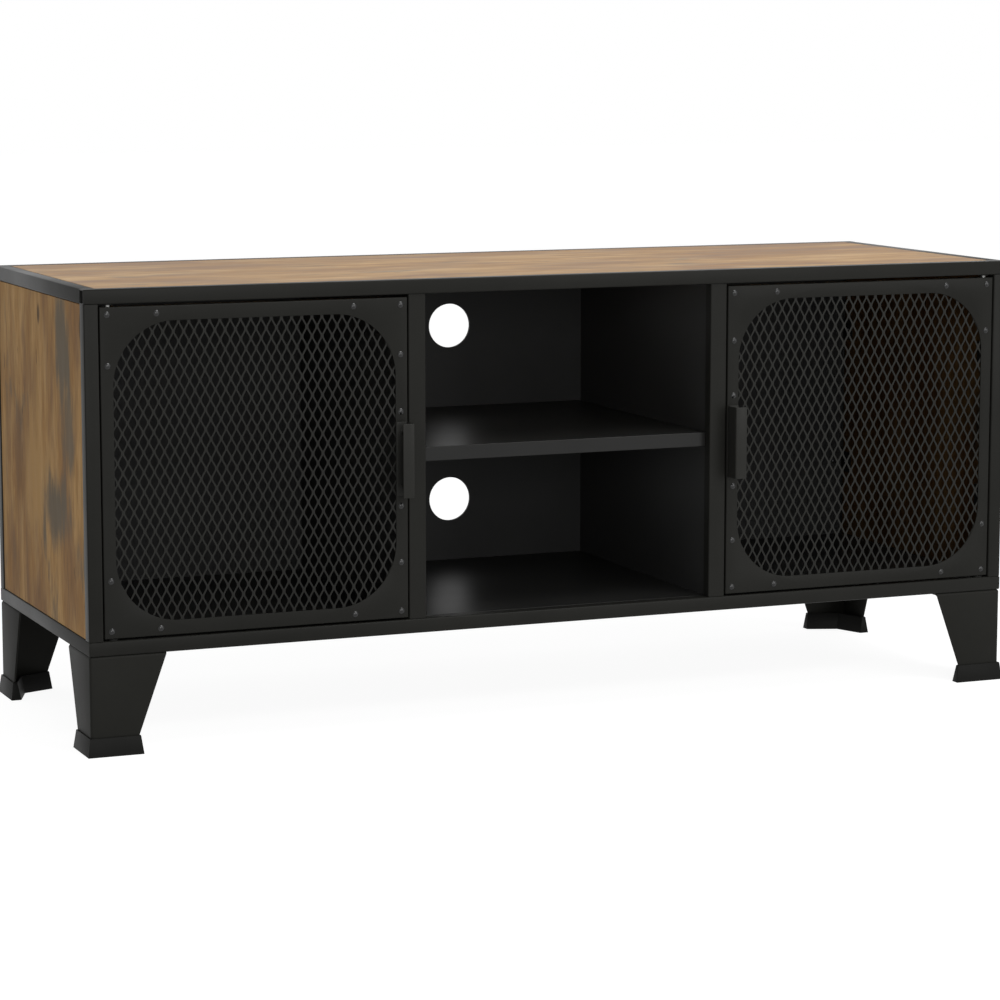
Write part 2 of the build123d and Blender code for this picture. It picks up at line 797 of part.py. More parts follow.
mesh_gaps = [
    mesh_gap(column, row)
    for column in range(mesh_columns + 1)
    for row in range(mesh_rows + 1)
    if (column + row) % 2 == 0
]
mesh_holes = [
    Wire.make_polygon(corners) for corners in mesh_gaps if any(in_window(x, z) for x, z in corners)
] + [
    Wire.make_circle(rivet_radius + fit, Plane((x, z, 0)))
    for x, z in rivet_spots + handle_rivet_spots
]
mesh_outline = Wire.make_rect(
    door_width - 2 * (door_sheet + mesh_edge_gap),
    door_height - 2 * (door_sheet + mesh_edge_gap),
)
mesh_face = Face(mesh_outline, mesh_holes)

with BuildPart() as left_door_mesh:
    with BuildSketch(door_face.offset(-door_sheet)):
        add(mesh_face)
    extrude(amount=-mesh_thickness)

# Left door: domed rivets through the pan and the mesh

rivet_grip = door_sheet + mesh_thickness


def domed_rivet(head_radius, head_height, grip):
    """One rivet, upright on its seat, with its tail set behind the grip."""
    with BuildPart() as rivet:
        with BuildSketch(Plane.XZ):
            with BuildLine():
                TangentArc((0, head_height), (head_radius, 0), tangent=(1, 0))
                Polyline(
                    (head_radius, 0),
                    (rivet_radius, 0),
                    (rivet_radius, -grip),
                    (rivet_tail_radius, -grip),
                    (rivet_tail_radius, -grip - rivet_tail_height),
                    (0, -grip - rivet_tail_height),
                    (0, head_height),
                )
            make_face()
        revolve(axis=Axis.Z)
    return rivet.part


door_rivet = domed_rivet(rivet_head_radius, rivet_head_height, rivet_grip)
handle_rivet = domed_rivet(handle_rivet_head_radius, handle_rivet_head_height, rivet_grip + handle_sheet)


def door_seat(x, z, lift=0.0):
    """Plane on the door's front face, or in front of it, at a place from its middle."""
    return Plane((door_x + x, door_front_y - lift, door_z + z), x_dir=(1, 0, 0), z_dir=(0, -1, 0))


with BuildPart() as left_door_rivets:
    with Locations(*[door_seat(x, z) for x, z in rivet_spots]):
        add(door_rivet)

# Left door: folded pull at the free edge, open towards the window

with BuildPart() as left_handle:
    with BuildSketch(Plane((door_free_x, door_front_y, door_z - handle_length / 2))) as profile:
        Rectangle(handle_width, handle_reach, align=Align.MAX)
        fillet(profile.vertices().group_by(Axis.X)[-1], handle_bend)
        with Locations((-handle_sheet, -handle_sheet)):
            Rectangle(
                handle_width - handle_sheet,
                handle_reach - 2 * handle_sheet,
                align=Align.MAX,
                mode=Mode.SUBTRACT,
            )
        inner_corners = [
            vertex
            for vertex in profile.vertices()
            if abs(vertex.X + handle_sheet) < fit and -handle_reach < vertex.Y < 0
        ]
        fillet(inner_corners, handle_bend - handle_sheet)
    extrude(amount=handle_length)
    with Locations(*[door_seat(x, z, handle_sheet) for x, z in handle_rivet_spots]):
        Hole(rivet_radius + fit, depth=handle_sheet)

with BuildPart() as left_handle_rivets:
    with Locations(*[door_seat(x, z, handle_sheet) for x, z in handle_rivet_spots]):
        add(handle_rivet)

# Left door: hinge pins, the plates that carry them and the strike plate

plate_low_x = door_outer_x + door_sheet
plate_low_y = door_front_y + rivet_grip + pin_plate_gap
plate_high = (plate_low_x + pin_plate_width, plate_low_y + pin_plate_depth)
upper_plate_z = door_top_z - door_sheet
lower_plate_z = door_bottom_z + door_sheet

with BuildPart() as left_pin_plates:
    box_between(
        (plate_low_x, plate_low_y, upper_plate_z - pin_plate_thickness),
        (*plate_high, upper_plate_z),
    )
    box_between(
        (plate_low_x, plate_low_y, lower_plate_z),
        (*plate_high, lower_plate_z + pin_plate_thickness),
    )
    with Locations((pin_x, pin_y, door_top_z)):
        Hole(pin_radius + fit, depth=door_height)

with BuildPart() as left_hinge_pins:
    pin_inside = door_sheet + pin_plate_thickness + pin_tail
    with Locations((pin_x, pin_y, door_top_z - pin_inside)):
        Cylinder(pin_radius, pin_inside + door_top_gap + pin_reach, align=FROM_BELOW)
    with Locations((pin_x, pin_y, door_bottom_z + pin_inside)):
        Cylinder(pin_radius, pin_inside + door_bottom_gap + pin_reach, align=FROM_ABOVE)
    chamfer(left_hinge_pins.edges().filter_by(GeomType.CIRCLE), pin_chamfer)

strike_high_x = door_free_x - door_sheet

with BuildPart() as left_strike_plate:
    box_between(
        (strike_high_x - catch_width, door_rear_y - strike_thickness, catch_z - catch_length / 2),
        (strike_high_x, door_rear_y, catch_z + catch_length / 2),
    )

# The right door is the left one's mirror image

left_door = {
    "door_frame": left_door_frame,
    "door_mesh": left_door_mesh,
    "door_rivets": left_door_rivets,
    "handle": left_handle,
    "handle_rivets": left_handle_rivets,
    "pin_plates": left_pin_plates,
    "hinge_pins": left_hinge_pins,
    "strike_plate": left_strike_plate,
}
for name, piece in left_door.items():
    piece.part.label = f"left_{name}"
    export_step(piece.part, f"parts/left_{name}.step")
    with BuildPart() as right_piece:
        mirror(piece.part, about=Plane.YZ)
    right_piece.part.label = f"right_{name}"
    export_step(right_piece.part, f"parts/right_{name}.step")
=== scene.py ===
# %% [markdown]
# # A low television stand with mesh doors
# The stand is a welded frame of square steel tube with boards set into it. A door of
# folded sheet and expanded metal swings at each end, and an open niche lies between them.
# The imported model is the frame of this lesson: it says where each piece sits and how large
# it is. Blender gives the pieces that are seen their finished shapes and their surfaces.

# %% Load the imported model
import json
import math
from contextlib import contextmanager

import bmesh
import bpy
from mathutils import Matrix, Vector


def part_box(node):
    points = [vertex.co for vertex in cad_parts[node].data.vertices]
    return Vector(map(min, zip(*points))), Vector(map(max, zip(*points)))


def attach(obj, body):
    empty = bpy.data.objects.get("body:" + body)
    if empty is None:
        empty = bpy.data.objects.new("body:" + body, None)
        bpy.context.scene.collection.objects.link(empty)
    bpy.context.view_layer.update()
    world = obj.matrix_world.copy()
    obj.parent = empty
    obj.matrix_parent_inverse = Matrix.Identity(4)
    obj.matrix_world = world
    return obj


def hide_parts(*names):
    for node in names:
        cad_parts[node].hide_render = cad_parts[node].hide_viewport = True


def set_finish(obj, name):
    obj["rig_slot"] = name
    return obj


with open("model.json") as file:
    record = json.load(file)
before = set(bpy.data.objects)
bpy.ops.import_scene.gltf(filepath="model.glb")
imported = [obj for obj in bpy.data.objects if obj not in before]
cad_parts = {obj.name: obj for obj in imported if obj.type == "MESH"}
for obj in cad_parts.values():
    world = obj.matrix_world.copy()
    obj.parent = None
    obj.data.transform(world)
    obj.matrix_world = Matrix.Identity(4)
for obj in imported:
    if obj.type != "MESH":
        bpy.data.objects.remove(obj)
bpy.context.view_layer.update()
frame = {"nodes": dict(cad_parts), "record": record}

scene = bpy.context.scene
scene.view_settings.view_transform = "Standard"
bpy.ops.object.select_all(action="DESELECT")
print("nodes in the frame:", len(frame["nodes"]))

# %% [markdown]
# ## Camera
# A product photograph of furniture is taken from far off with a long lens, so that upright
# edges stay nearly parallel. The camera stands to the left of the stand, a little above its
# top, and looks slightly down. Its place was found by fitting the corners of the frame.

# %% Camera
camera_place = (-1.3881, -3.3104, 0.7284)
camera_turn = 22.61
camera_dip = 8.23
camera_lens = 118.42

bpy.ops.object.camera_add(
    location=camera_place,
    rotation=(math.radians(90 - camera_dip), 0, math.radians(-camera_turn)),
)
camera = bpy.context.object
camera.data.sensor_width = 36
camera.data.lens = camera_lens
scene.camera = camera
print("lens in millimetres:", camera_lens)

# %% [markdown]
# ## Small helpers for nodes
# Shader trees are easier to read when a node is made, set and linked in one line. The first
# helpers join two sockets, make a node, work out a sum and mix two colours. The last one
# tells the rays that show the background from those that light the object.


# %% Node helpers
def join(tree, start, end):
    """Links an output socket to an input socket."""
    tree.links.new(start, end)


def add_node(tree, kind, inputs=None, **settings):
    """Makes a shader node, sets its properties and gives each named input a value or a link."""
    node = tree.nodes.new("ShaderNode" + kind)
    for key, value in settings.items():
        setattr(node, key, value)
    for key, value in (inputs or {}).items():
        if isinstance(value, bpy.types.NodeSocket):
            join(tree, value, node.inputs[key])
        else:
            node.inputs[key].default_value = value
    return node


def calculate(tree, operation, *values):
    """A Math node whose inputs are numbers or sockets. Returns its output."""
    return add_node(tree, "Math", dict(enumerate(values)), operation=operation).outputs[0]


mix_factor, mix_first, mix_second, mix_result = 0, 6, 7, 2


def blend_color(tree, factor, first, second, mode="MIX"):
    """Mixes two colours, each a socket or a value, and returns the mixed one."""
    inputs = {mix_factor: factor, mix_first: first, mix_second: second}
    mix = add_node(tree, "Mix", inputs, data_type="RGBA", blend_type=mode)
    return mix.outputs[mix_result]


def split_rays(tree, lighting, shown, end):
    """Gives one shader to rays that show the background and another to all other rays.

    The background is seen straight, in a mirror or through glass.
    """
    rays = add_node(tree, "LightPath").outputs
    seen = calculate(tree, "MAXIMUM", rays["Is Camera Ray"], rays["Is Glossy Ray"])
    seen = calculate(tree, "MAXIMUM", seen, rays["Is Transmission Ray"])
    choice = add_node(tree, "MixShader", {0: seen, 1: lighting.outputs[0], 2: shown.outputs[0]})
    join(tree, choice.outputs[0], end)


helpers = (join, add_node, calculate, blend_color, split_rays)
print("node helpers:", [helper.__name__ for helper in helpers])

# %% [markdown]
# ## Studio
# The room is white all round, as in a photo cove. Brighter lamps would make it white too, but
# they would flood the object as well. So rays that show the background see plain white, and
# all other rays get a softer ambient light. The floor is pale and keeps a faint shadow.

# %% World and floor
ambient_light = 0.40
floor_size = 30.0
floor_shade = 0.8
floor_glow = 0.925
floor_catch = 0.20

world = bpy.data.worlds.new("white_cove")
scene.world = world
world.use_nodes = True
tree = world.node_tree
ambient = tree.nodes["Background"]
ambient.inputs["Color"].default_value = (1, 1, 1, 1)
ambient.inputs["Strength"].default_value = ambient_light
white = add_node(tree, "Background", {"Color": (1, 1, 1, 1), "Strength": 1.0})
split_rays(tree, ambient, white, tree.nodes["World Output"].inputs[0])

bpy.ops.mesh.primitive_plane_add(size=floor_size)
floor = bpy.context.object
floor.name = "floor"
floor.data.materials.append(bpy.data.materials.new("pale_floor"))
floor.data.materials[0].use_nodes = True
tree = floor.data.materials[0].node_tree
tree.nodes.remove(tree.nodes["Principled BSDF"])
matt = add_node(tree, "BsdfDiffuse", {"Color": (floor_shade, floor_shade, floor_shade, 1)})
glow = add_node(tree, "Emission", {"Color": (1, 1, 1, 1), "Strength": floor_glow})
catch = add_node(tree, "BsdfDiffuse", {"Color": (floor_catch, floor_catch, floor_catch, 1)})
shown = add_node(tree, "AddShader", {0: glow.outputs[0], 1: catch.outputs[0]})
split_rays(tree, matt, shown, tree.nodes["Material Output"].inputs[0])
print("floor, in metres:", floor_size)

# %% [markdown]
# ## Lamps
# Black steel shows its shape by what it mirrors, so the lamps are large and soft. A small
# lamp would give hard dots and shadows. The overhead box lights the top, the long key strip
# puts a small bright dash on each rivet, and two low boxes reach into the niche.


# %% Soft boxes
def soft_box(name, place, aim, size, power):
    """A rectangular area lamp that looks at a point."""
    bpy.ops.object.light_add(type="AREA", location=place)
    lamp = bpy.context.object
    lamp.name = name
    lamp.data.shape = "RECTANGLE"
    lamp.data.size, lamp.data.size_y = size
    lamp.data.energy = power
    lamp.rotation_euler = (Vector(aim) - Vector(place)).to_track_quat("-Z", "Y").to_euler()


soft_box("overhead_box", place=(0.7, -0.9, 2.6), aim=(0.25, -0.1, 0.3), size=(1.8, 0.8), power=29)
soft_box("key_strip", place=(0.95, -2.9, 2.2), aim=(0.15, 0, 0.3), size=(3.2, 0.4), power=38)
soft_box("low_left_box", place=(-0.9, -4.0, 0.9), aim=(0, 0, 0.3), size=(1.4, 1.0), power=30)
soft_box("low_right_box", place=(2.1, -3.3, 0.9), aim=(0.4, 0, 0.3), size=(1.2, 1.2), power=19)

# %% [markdown]
# ## Helpers for modelling by hand
# Each piece starts as a primitive and is shaped in edit mode. Without a window nothing can
# be clicked, so faces, edges and corners are selected by their place or by the way they
# face. The number of a corner would do too, but it changes with every cut, and a place doesn't.


# %% Select and shape
def deselect():
    """Clears the selection of objects."""
    bpy.ops.object.select_all(action="DESELECT")


def make_active(piece):
    """Selects one object alone and makes it the active one."""
    deselect()
    piece.select_set(True)
    bpy.context.view_layer.objects.active = piece


@contextmanager
def editing(piece):
    """Edit mode on one piece, with nothing else selected."""
    make_active(piece)
    bpy.ops.object.mode_set(mode="EDIT")
    yield
    bpy.ops.object.mode_set(mode="OBJECT")


def select_all():
    """In edit mode, selects the whole mesh."""
    bpy.ops.mesh.select_all(action="SELECT")


def select(kind, test):
    """In edit mode, selects the corners, edges or faces that pass a test of their place."""
    bpy.ops.mesh.select_mode(type=kind)
    bpy.ops.mesh.select_all(action="DESELECT")
    mesh = bmesh.from_edit_mesh(bpy.context.object.data)
    if kind == "VERT":
        found = [corner for corner in mesh.verts if test(corner.co)]
    elif kind == "EDGE":
        found = [edge for edge in mesh.edges if test(*(corner.co for corner in edge.verts))]
    else:
        found = [face for face in mesh.faces if test(face.calc_center_median(), face.normal)]
    for part in found:
        part.select_set(True)
    bmesh.update_edit_mesh(bpy.context.object.data)


def move(x=0.0, y=0.0, z=0.0):
    """Moves what is selected in edit mode."""
    bpy.ops.transform.translate(value=(x, y, z))


def extrude(x=0.0, y=0.0, z=0.0):
    """Extrudes what is selected in edit mode and moves the new end."""
    bpy.ops.mesh.extrude_region_move(TRANSFORM_OT_translate={"value": (x, y, z)})


print("edit mode helpers:", [helper.__name__ for helper in (select, select_all, move, extrude)])

# %% [markdown]
# ## Helpers for cuts and bevels
# A real cut drops its waste, and a real fold has a small radius. Both could be drawn corner by
# corner. Bisect and Bevel work on whole edges instead, so a radius stays one value. Faces are
# turned outwards at the end, because thickness and light follow the side that they show.


# %% Cut and bevel
def bevel(width, segments, kind="EDGES"):
    """In edit mode, rounds the selected edges, or the corners when kind is VERTICES."""
    bpy.ops.mesh.bevel(offset=width, segments=segments, affect=kind)


def cut_off(place, facing, **limits):
    """In edit mode, cuts the mesh along a plane and drops the side that the plane faces."""
    select_all()
    bpy.ops.mesh.bisect(plane_co=place, plane_no=facing, clear_outer=True, **limits)


def turn_outwards():
    """In edit mode, turns all faces outwards."""
    select_all()
    bpy.ops.mesh.normals_make_consistent(inside=False)


print("cut and bevel helpers:", [helper.__name__ for helper in (bevel, cut_off, turn_outwards)])

# %% [markdown]
# ## Helpers for sheet and rims
# Most of this stand is folded sheet. Both faces of a sheet could be drawn, but they are hard
# to keep in step, so one face is drawn and a Solidify modifier adds the other. A Bevel
# modifier rounds the rims, because a real edge is never quite sharp and catches some light.


# %% Sheet and rims
def apply_modifier(piece, kind, **settings):
    """Adds a modifier, sets it and applies it."""
    make_active(piece)
    modifier = piece.modifiers.new(kind.lower(), kind)
    for key, value in settings.items():
        setattr(modifier, key, value)
    bpy.ops.object.modifier_apply(modifier=modifier.name)


def thicken(piece, sheet):
    """Gives an open sheet its thickness, inwards from the face that is modelled."""
    apply_modifier(piece, "SOLIDIFY", thickness=sheet, offset=-1, use_even_offset=True)


smooth_below = math.radians(35)


def smooth(piece):
    """Smooths the shading over all edges that are flatter than an angle."""
    make_active(piece)
    bpy.ops.object.shade_smooth_by_angle(angle=smooth_below)


def round_rims(piece, width, segments=2, angle=50):
    """Rounds every edge sharper than an angle and smooths what is flatter."""
    apply_modifier(
        piece,
        "BEVEL",
        width=width,
        segments=segments,
        limit_method="ANGLE",
        angle_limit=math.radians(angle),
    )
    smooth(piece)


merge_distance = 1e-6


def face_outwards(piece):
    """Merges doubles and turns all faces outwards."""
    with editing(piece):
        select_all()
        bpy.ops.mesh.remove_doubles(threshold=merge_distance)
        turn_outwards()


print("shaded smooth below, in degrees:", round(math.degrees(smooth_below)))

# %% [markdown]
# ## Starts and hand-in
# A block or an upright sheet that fills the box of a solid is the start of most pieces. A
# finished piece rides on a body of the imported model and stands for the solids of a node, so
# it swings with its door and nothing is shown twice.


# %% Starts and hand-in
def apply_place():
    """Moves the place, turn and scale of the selected objects into their meshes."""
    bpy.ops.object.transform_apply(location=True, rotation=True, scale=True)


def name_piece(name):
    """Names the object that was just added, with its place kept in its mesh."""
    piece = bpy.context.object
    piece.name = name
    apply_place()
    return piece


def block(name, low, high):
    """A cube drawn out to fill a box, as the start of a piece."""
    deselect()
    bpy.ops.mesh.primitive_cube_add(size=1, location=(low + high) / 2)
    bpy.context.object.scale = high - low
    return name_piece(name)


def upright_sheet(name, low, high):
    """A flat plane that faces the front, on the front of a box."""
    deselect()
    middle = (low + high) / 2
    bpy.ops.mesh.primitive_plane_add(
        size=1, location=(middle.x, low.y, middle.z), rotation=(math.radians(90), 0, 0)
    )
    bpy.context.object.scale = (high.x - low.x, high.z - low.z, 1)
    return name_piece(name)


made = []


def hand_in(piece, body, slot, node):
    """Lets a finished piece ride on a body and stand for the solids of a node."""
    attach(piece, body)
    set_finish(piece, slot)
    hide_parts(node)
    made.append((piece, node))


print("pieces handed in so far:", len(made))

# %% [markdown]
# ## Square tube of the frame
# The rails and posts are cut from 15 mm square tube with rounded corners and are welded,
# then coated. A box with its ends taken off becomes a sleeve, its long edges are rounded,
# and Solidify turns it into a tube with a real wall. A plain block would look the same from
# the front, but it has no wall to show at an open end. The lower rails are mitred, so their
# sleeves are bisected at 45 degrees. A fine round on each rim leaves the seam that shows
# where two tubes meet.

# %% Rails and posts
tube_wall = 0.0012
tube_corner = 0.0015
seam_round = 0.00035
square_on = 0.9

frame_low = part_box("bottom_front_rail")[0]
frame_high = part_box("bottom_rear_rail")[1]


def square_tube(node, run, cuts=()):
    """A hollow tube in the place of a rail or post that runs along one axis."""
    low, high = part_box(node)
    tube = block(node + "_tube", low, high)
    with editing(tube):
        select("FACE", lambda place, facing: abs(facing[run]) > square_on)
        bpy.ops.mesh.delete(type="ONLY_FACE")
        select("EDGE", lambda a, b: abs(a[run] - b[run]) > 2 * tube_corner)
        bevel(tube_corner, segments=4)
        for place, facing in cuts:
            cut_off(place, facing)
    thicken(tube, tube_wall)
    round_rims(tube, seam_round)
    hand_in(tube, "cabinet", "black_steel", node)


def mitre_cut(sign_x, sign_y, along_x):
    """Cut through one lower corner of the frame, facing the waste of that rail."""
    corner = (
        frame_low.x if sign_x < 0 else frame_high.x,
        frame_low.y if sign_y < 0 else frame_high.y,
        frame_low.z,
    )
    turn = 1 if along_x else -1
    return corner, (turn * sign_x, -turn * sign_y, 0)


for node in ("top_front_rail", "top_rear_rail"):
    square_tube(node, run=0)
for node in ("top_left_rail", "top_right_rail"):
    square_tube(node, run=1)
for end in ("front", "rear"):
    for side in ("left", "right"):
        square_tube(f"{end}_{side}_post", run=2)
for end, sign_y in (("front", -1), ("rear", 1)):
    square_tube(f"bottom_{end}_rail", 0, [mitre_cut(sign_x, sign_y, True) for sign_x in (-1, 1)])
for side, sign_x in (("left", -1), ("right", 1)):
    square_tube(f"bottom_{side}_rail", 1, [mitre_cut(sign_x, sign_y, False) for sign_y in (-1, 1)])
print("tubes:", len(made))

# %% [markdown]
# ## Door pans
# Each door is a shallow pan of 1 mm sheet with a large rounded window. An outer rectangle
# and an inner one with rounded corners are bridged to a flat ring of faces. Its outer edge
# is drawn back to make the folded sides, the fold is rounded, and Solidify gives the sheet
# its thickness. A Boolean could cut the window, but a bridged ring has even faces that bevel
# cleanly.

# %% Door pans
door_sheet = 0.001
door_fold = 0.0012
door_rim_round = 0.0002
window_side_inset = 0.013
window_end_inset = 0.015
window_radius = 0.065
window_steps = 20
small = 1e-5


def door_pan(side):
    """The folded front of one door."""
    low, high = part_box(f"{side}_door_frame")
    middle = (low + high) / 2
    pan = upright_sheet(f"{side}_door_pan", low, high)
    with editing(pan):
        select_all()
        bpy.ops.mesh.delete(type="ONLY_FACE")
        select_all()
        bpy.ops.mesh.subdivide(number_cuts=window_steps)
        centre = (middle.x, low.y, middle.z)
        bpy.ops.mesh.primitive_plane_add(size=1, location=centre, rotation=(math.radians(90), 0, 0))
        wide = high.x - low.x - 2 * window_side_inset
        tall = high.z - low.z - 2 * window_end_inset
        bpy.ops.transform.resize(value=(wide, 1, tall), center_override=centre)
        bevel(window_radius, segments=window_steps, kind="VERTICES")
        select("FACE", lambda place, facing: True)
        bpy.ops.mesh.delete(type="ONLY_FACE")
        select_all()
        bpy.ops.mesh.bridge_edge_loops()

        def on_border(place):
            near_side = min(place.x - low.x, high.x - place.x) < small
            return near_side or min(place.z - low.z, high.z - place.z) < small

        select("EDGE", lambda a, b: on_border(a) and on_border(b) and on_border((a + b) / 2))
        extrude(y=high.y - low.y)
        select("EDGE", lambda a, b: on_border((a + b) / 2) and max(a.y, b.y) < low.y + small)
        bevel(door_fold, segments=4)
        turn_outwards()
    thicken(pan, door_sheet)
    round_rims(pan, door_rim_round)
    hand_in(pan, f"{side}_door", "black_steel", f"{side}_door_frame")
    return len(pan.data.polygons)


for side in ("left", "right"):
    print(side, "door pan, faces:", door_pan(side))

# %% [markdown]
# ## Expanded metal
# The windows are closed by expanded metal: a sheet is slit and pulled, and the slits open
# into diamonds with wide knots between them. A pattern of holes in a material would be
# lighter, but it has no depth. One knot is drawn from a circle of six corners whose four
# slanting edges are extruded to half strands. A second knot half a step away completes the
# repeat.

# %% One knot of the mesh
diamond_width = 0.01083
diamond_height = 0.0200
gap_width = 0.0074
gap_height = 0.0157
gap_side = 0.0026


def mesh_knot(middle):
    """One flat knot of the net with a half strand to each of its four neighbours."""
    side_x = (diamond_width - gap_width) / 2
    side_z = gap_side / 2
    tip_z = (diamond_height - gap_height) / 2
    reach = Vector((gap_width, 0, gap_height - gap_side)) / 4
    deselect()
    bpy.ops.mesh.primitive_circle_add(
        vertices=6, radius=1, fill_type="NGON", location=middle, rotation=(math.radians(90), 0, 0)
    )
    bpy.context.object.scale = (side_x / math.cos(math.radians(30)), tip_z, 1)
    knot = name_piece("mesh_knot")
    with editing(knot):
        select("VERT", lambda place: abs(place.x - middle.x) > small)
        bpy.ops.transform.resize(value=(1, 1, 2 * side_z / tip_z), center_override=middle)
        for sign_x in (-1, 1):
            for sign_z in (-1, 1):
                aim = Vector((sign_x * side_x, 0, sign_z * (side_z + tip_z))) / 2 + middle
                select("EDGE", lambda a, b: ((a + b) / 2 - aim).length < small)
                extrude(x=sign_x * reach.x, z=sign_z * reach.z)
        select_all()
        bpy.ops.mesh.duplicate_move(
            TRANSFORM_OT_translate={"value": (diamond_width / 2, 0, diamond_height / 2)}
        )
    return knot


print("diamonds, in millimetres:", 1000 * diamond_width, "by", 1000 * diamond_height)

# %% [markdown]
# ## Nets of the doors
# Two Array modifiers lay the repeat out, along the row and up the sheet, which is quicker than
# many copies. The net is then trimmed by four cuts to the sheet that the rivets hold. It gets
# its thickness last, when its doubles are merged.

# %% Nets of the doors
mesh_sheet = 0.001
strand_round = 0.00018


def door_mesh(side):
    """The net of one door, trimmed to its sheet."""
    low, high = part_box(f"{side}_door_mesh")
    middle = (low + high) / 2
    columns = math.ceil((high.x - low.x) / diamond_width / 2) + 1
    rows = math.ceil((high.z - low.z) / diamond_height / 2) + 1
    first = Vector((middle.x - columns * diamond_width, low.y, middle.z - rows * diamond_height))
    net = mesh_knot(first)
    net.name = f"{side}_door_net"
    for step, count in (((diamond_width, 0, 0), 2 * columns), ((0, 0, diamond_height), 2 * rows)):
        apply_modifier(
            net,
            "ARRAY",
            count=count,
            use_relative_offset=False,
            use_constant_offset=True,
            constant_offset_displace=step,
        )
    with editing(net):
        select_all()
        bpy.ops.mesh.remove_doubles(threshold=small)
        sides = ((low, (-1, 0, 0)), (high, (1, 0, 0)), (low, (0, 0, -1)), (high, (0, 0, 1)))
        for place, facing in sides:
            cut_off(place, facing)
        turn_outwards()
        if next(iter(bmesh.from_edit_mesh(net.data).faces)).normal.y > 0:
            bpy.ops.mesh.flip_normals()
    thicken(net, mesh_sheet)
    round_rims(net, strand_round, segments=1)
    hand_in(net, f"{side}_door", "mesh_steel", f"{side}_door_mesh")
    return len(net.data.polygons)


for side in ("left", "right"):
    print(side, "net, faces:", door_mesh(side))

# %% [markdown]
# ## Places of the small fasteners
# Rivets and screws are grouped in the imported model, one node for each kind. Their places
# could be typed in, but the solids already hold them. The separate solids of a node are found
# by walking along its edges, and each gives a seat: the tip of its head and the way that the
# head faces.


# %% Seats of fasteners
def separate_solids(node):
    """Corner points of each separate solid of a node."""
    mesh = bmesh.new()
    mesh.from_mesh(frame["nodes"][node].data)
    bmesh.ops.remove_doubles(mesh, verts=mesh.verts, dist=1e-7)
    waiting = set(mesh.verts)
    solids = []
    while waiting:
        queue = [waiting.pop()]
        points = []
        while queue:
            corner = queue.pop()
            points.append(corner.co.copy())
            for edge in corner.link_edges:
                other = edge.other_vert(corner)
                if other in waiting:
                    waiting.remove(other)
                    queue.append(other)
        solids.append(points)
    mesh.free()

    def middle_place(points):
        return tuple(round(x, 4) for x in sum(points, Vector()) / len(points))

    return sorted(solids, key=middle_place)


rim_share = 0.98


def fastener_seats(node):
    """Turned frames at the tip of each fastener's head, with Z out of the work."""
    seats = []
    for points in separate_solids(node):
        low = Vector(map(min, zip(*points)))
        high = Vector(map(max, zip(*points)))
        middle = (low + high) / 2
        size = high - low
        axis = max(range(3), key=lambda i: abs(size[i] - sorted(size)[1]))
        first, second = (i for i in range(3) if i != axis)
        radii = [math.hypot(p[first] - middle[first], p[second] - middle[second]) for p in points]
        rim = [p[axis] for p, radius in zip(points, radii) if radius > rim_share * max(radii)]
        facing = Vector((0, 0, 0))
        facing[axis] = 1 if sum(rim) / len(rim) > middle[axis] else -1
        tip = middle.copy()
        tip[axis] = high[axis] if facing[axis] > 0 else low[axis]
        seats.append(Matrix.Translation(tip) @ facing.to_track_quat("Z", "Y").to_matrix().to_4x4())
    return seats


for node in ("left_door_rivets", "panel_screws", "back_panel_screws", "leg_screws"):
    print(node, "has", len(fastener_seats(node)), "solids")

# %% [markdown]
# ## Domed rivets
# A rivet has a low dome, a shank and a tail that is set behind the mesh. The dome is cut off
# the top of a ball, because half a ball would stand too high, and its lower rim is drawn down
# in steps to the shank and the tail.

# %% Rivets
skirt_share = 1 / 6
tail_straight, tail_taper = 0.6, 0.6


def draw_in(share):
    """In edit mode, scales what is selected towards the upright axis, or away from it."""
    bpy.ops.transform.resize(value=(share, share, 1), center_override=(0, 0, 0))


def dome_rivet(name, radius, height, grip, shank=0.0016, tail=0.0024, tail_height=0.001):
    """One rivet with the tip of its dome at the origin and its tail below."""
    skirt = skirt_share * height
    dome = height - skirt
    ball = (radius**2 + dome**2) / (2 * dome)
    deselect()
    bpy.ops.mesh.primitive_uv_sphere_add(
        segments=28, ring_count=60, radius=ball, location=(0, 0, dome - ball)
    )
    rivet = name_piece(name)
    with editing(rivet):
        cut_off((0, 0, 0), (0, 0, -1), threshold=small)
        select("EDGE", lambda a, b: max(a.z, b.z) < small)
        ring = radius
        for drop, wide in (
            (skirt, radius),
            (0, shank),
            (grip, shank),
            (0, tail),
            (tail_straight * tail_height, tail),
            ((1 - tail_straight) * tail_height, tail_taper * tail),
        ):
            extrude(z=-drop)
            draw_in(wide / ring)
            ring = wide
        bpy.ops.mesh.edge_face_add()
        select_all()
        move(z=skirt - height)
    face_outwards(rivet)
    smooth(rivet)
    return rivet


door_rivet = dome_rivet("door_rivet", radius=0.0032, height=0.0015, grip=0.0020)
handle_rivet = dome_rivet("handle_rivet", radius=0.0026, height=0.0009, grip=0.0035)
print("one door rivet, faces:", len(door_rivet.data.polygons))

# %% [markdown]
# ## Rivets on their seats
# A fastener is modelled once and copied to each of its seats. Each copy has its own mesh, so
# its place can be applied to it, and the copies of a group are joined to one piece.


# %% Rivets on their seats
def twin_of(piece):
    """A copy of an object with a mesh of its own."""
    twin = piece.copy()
    twin.data = piece.data.copy()
    scene.collection.objects.link(twin)
    return twin


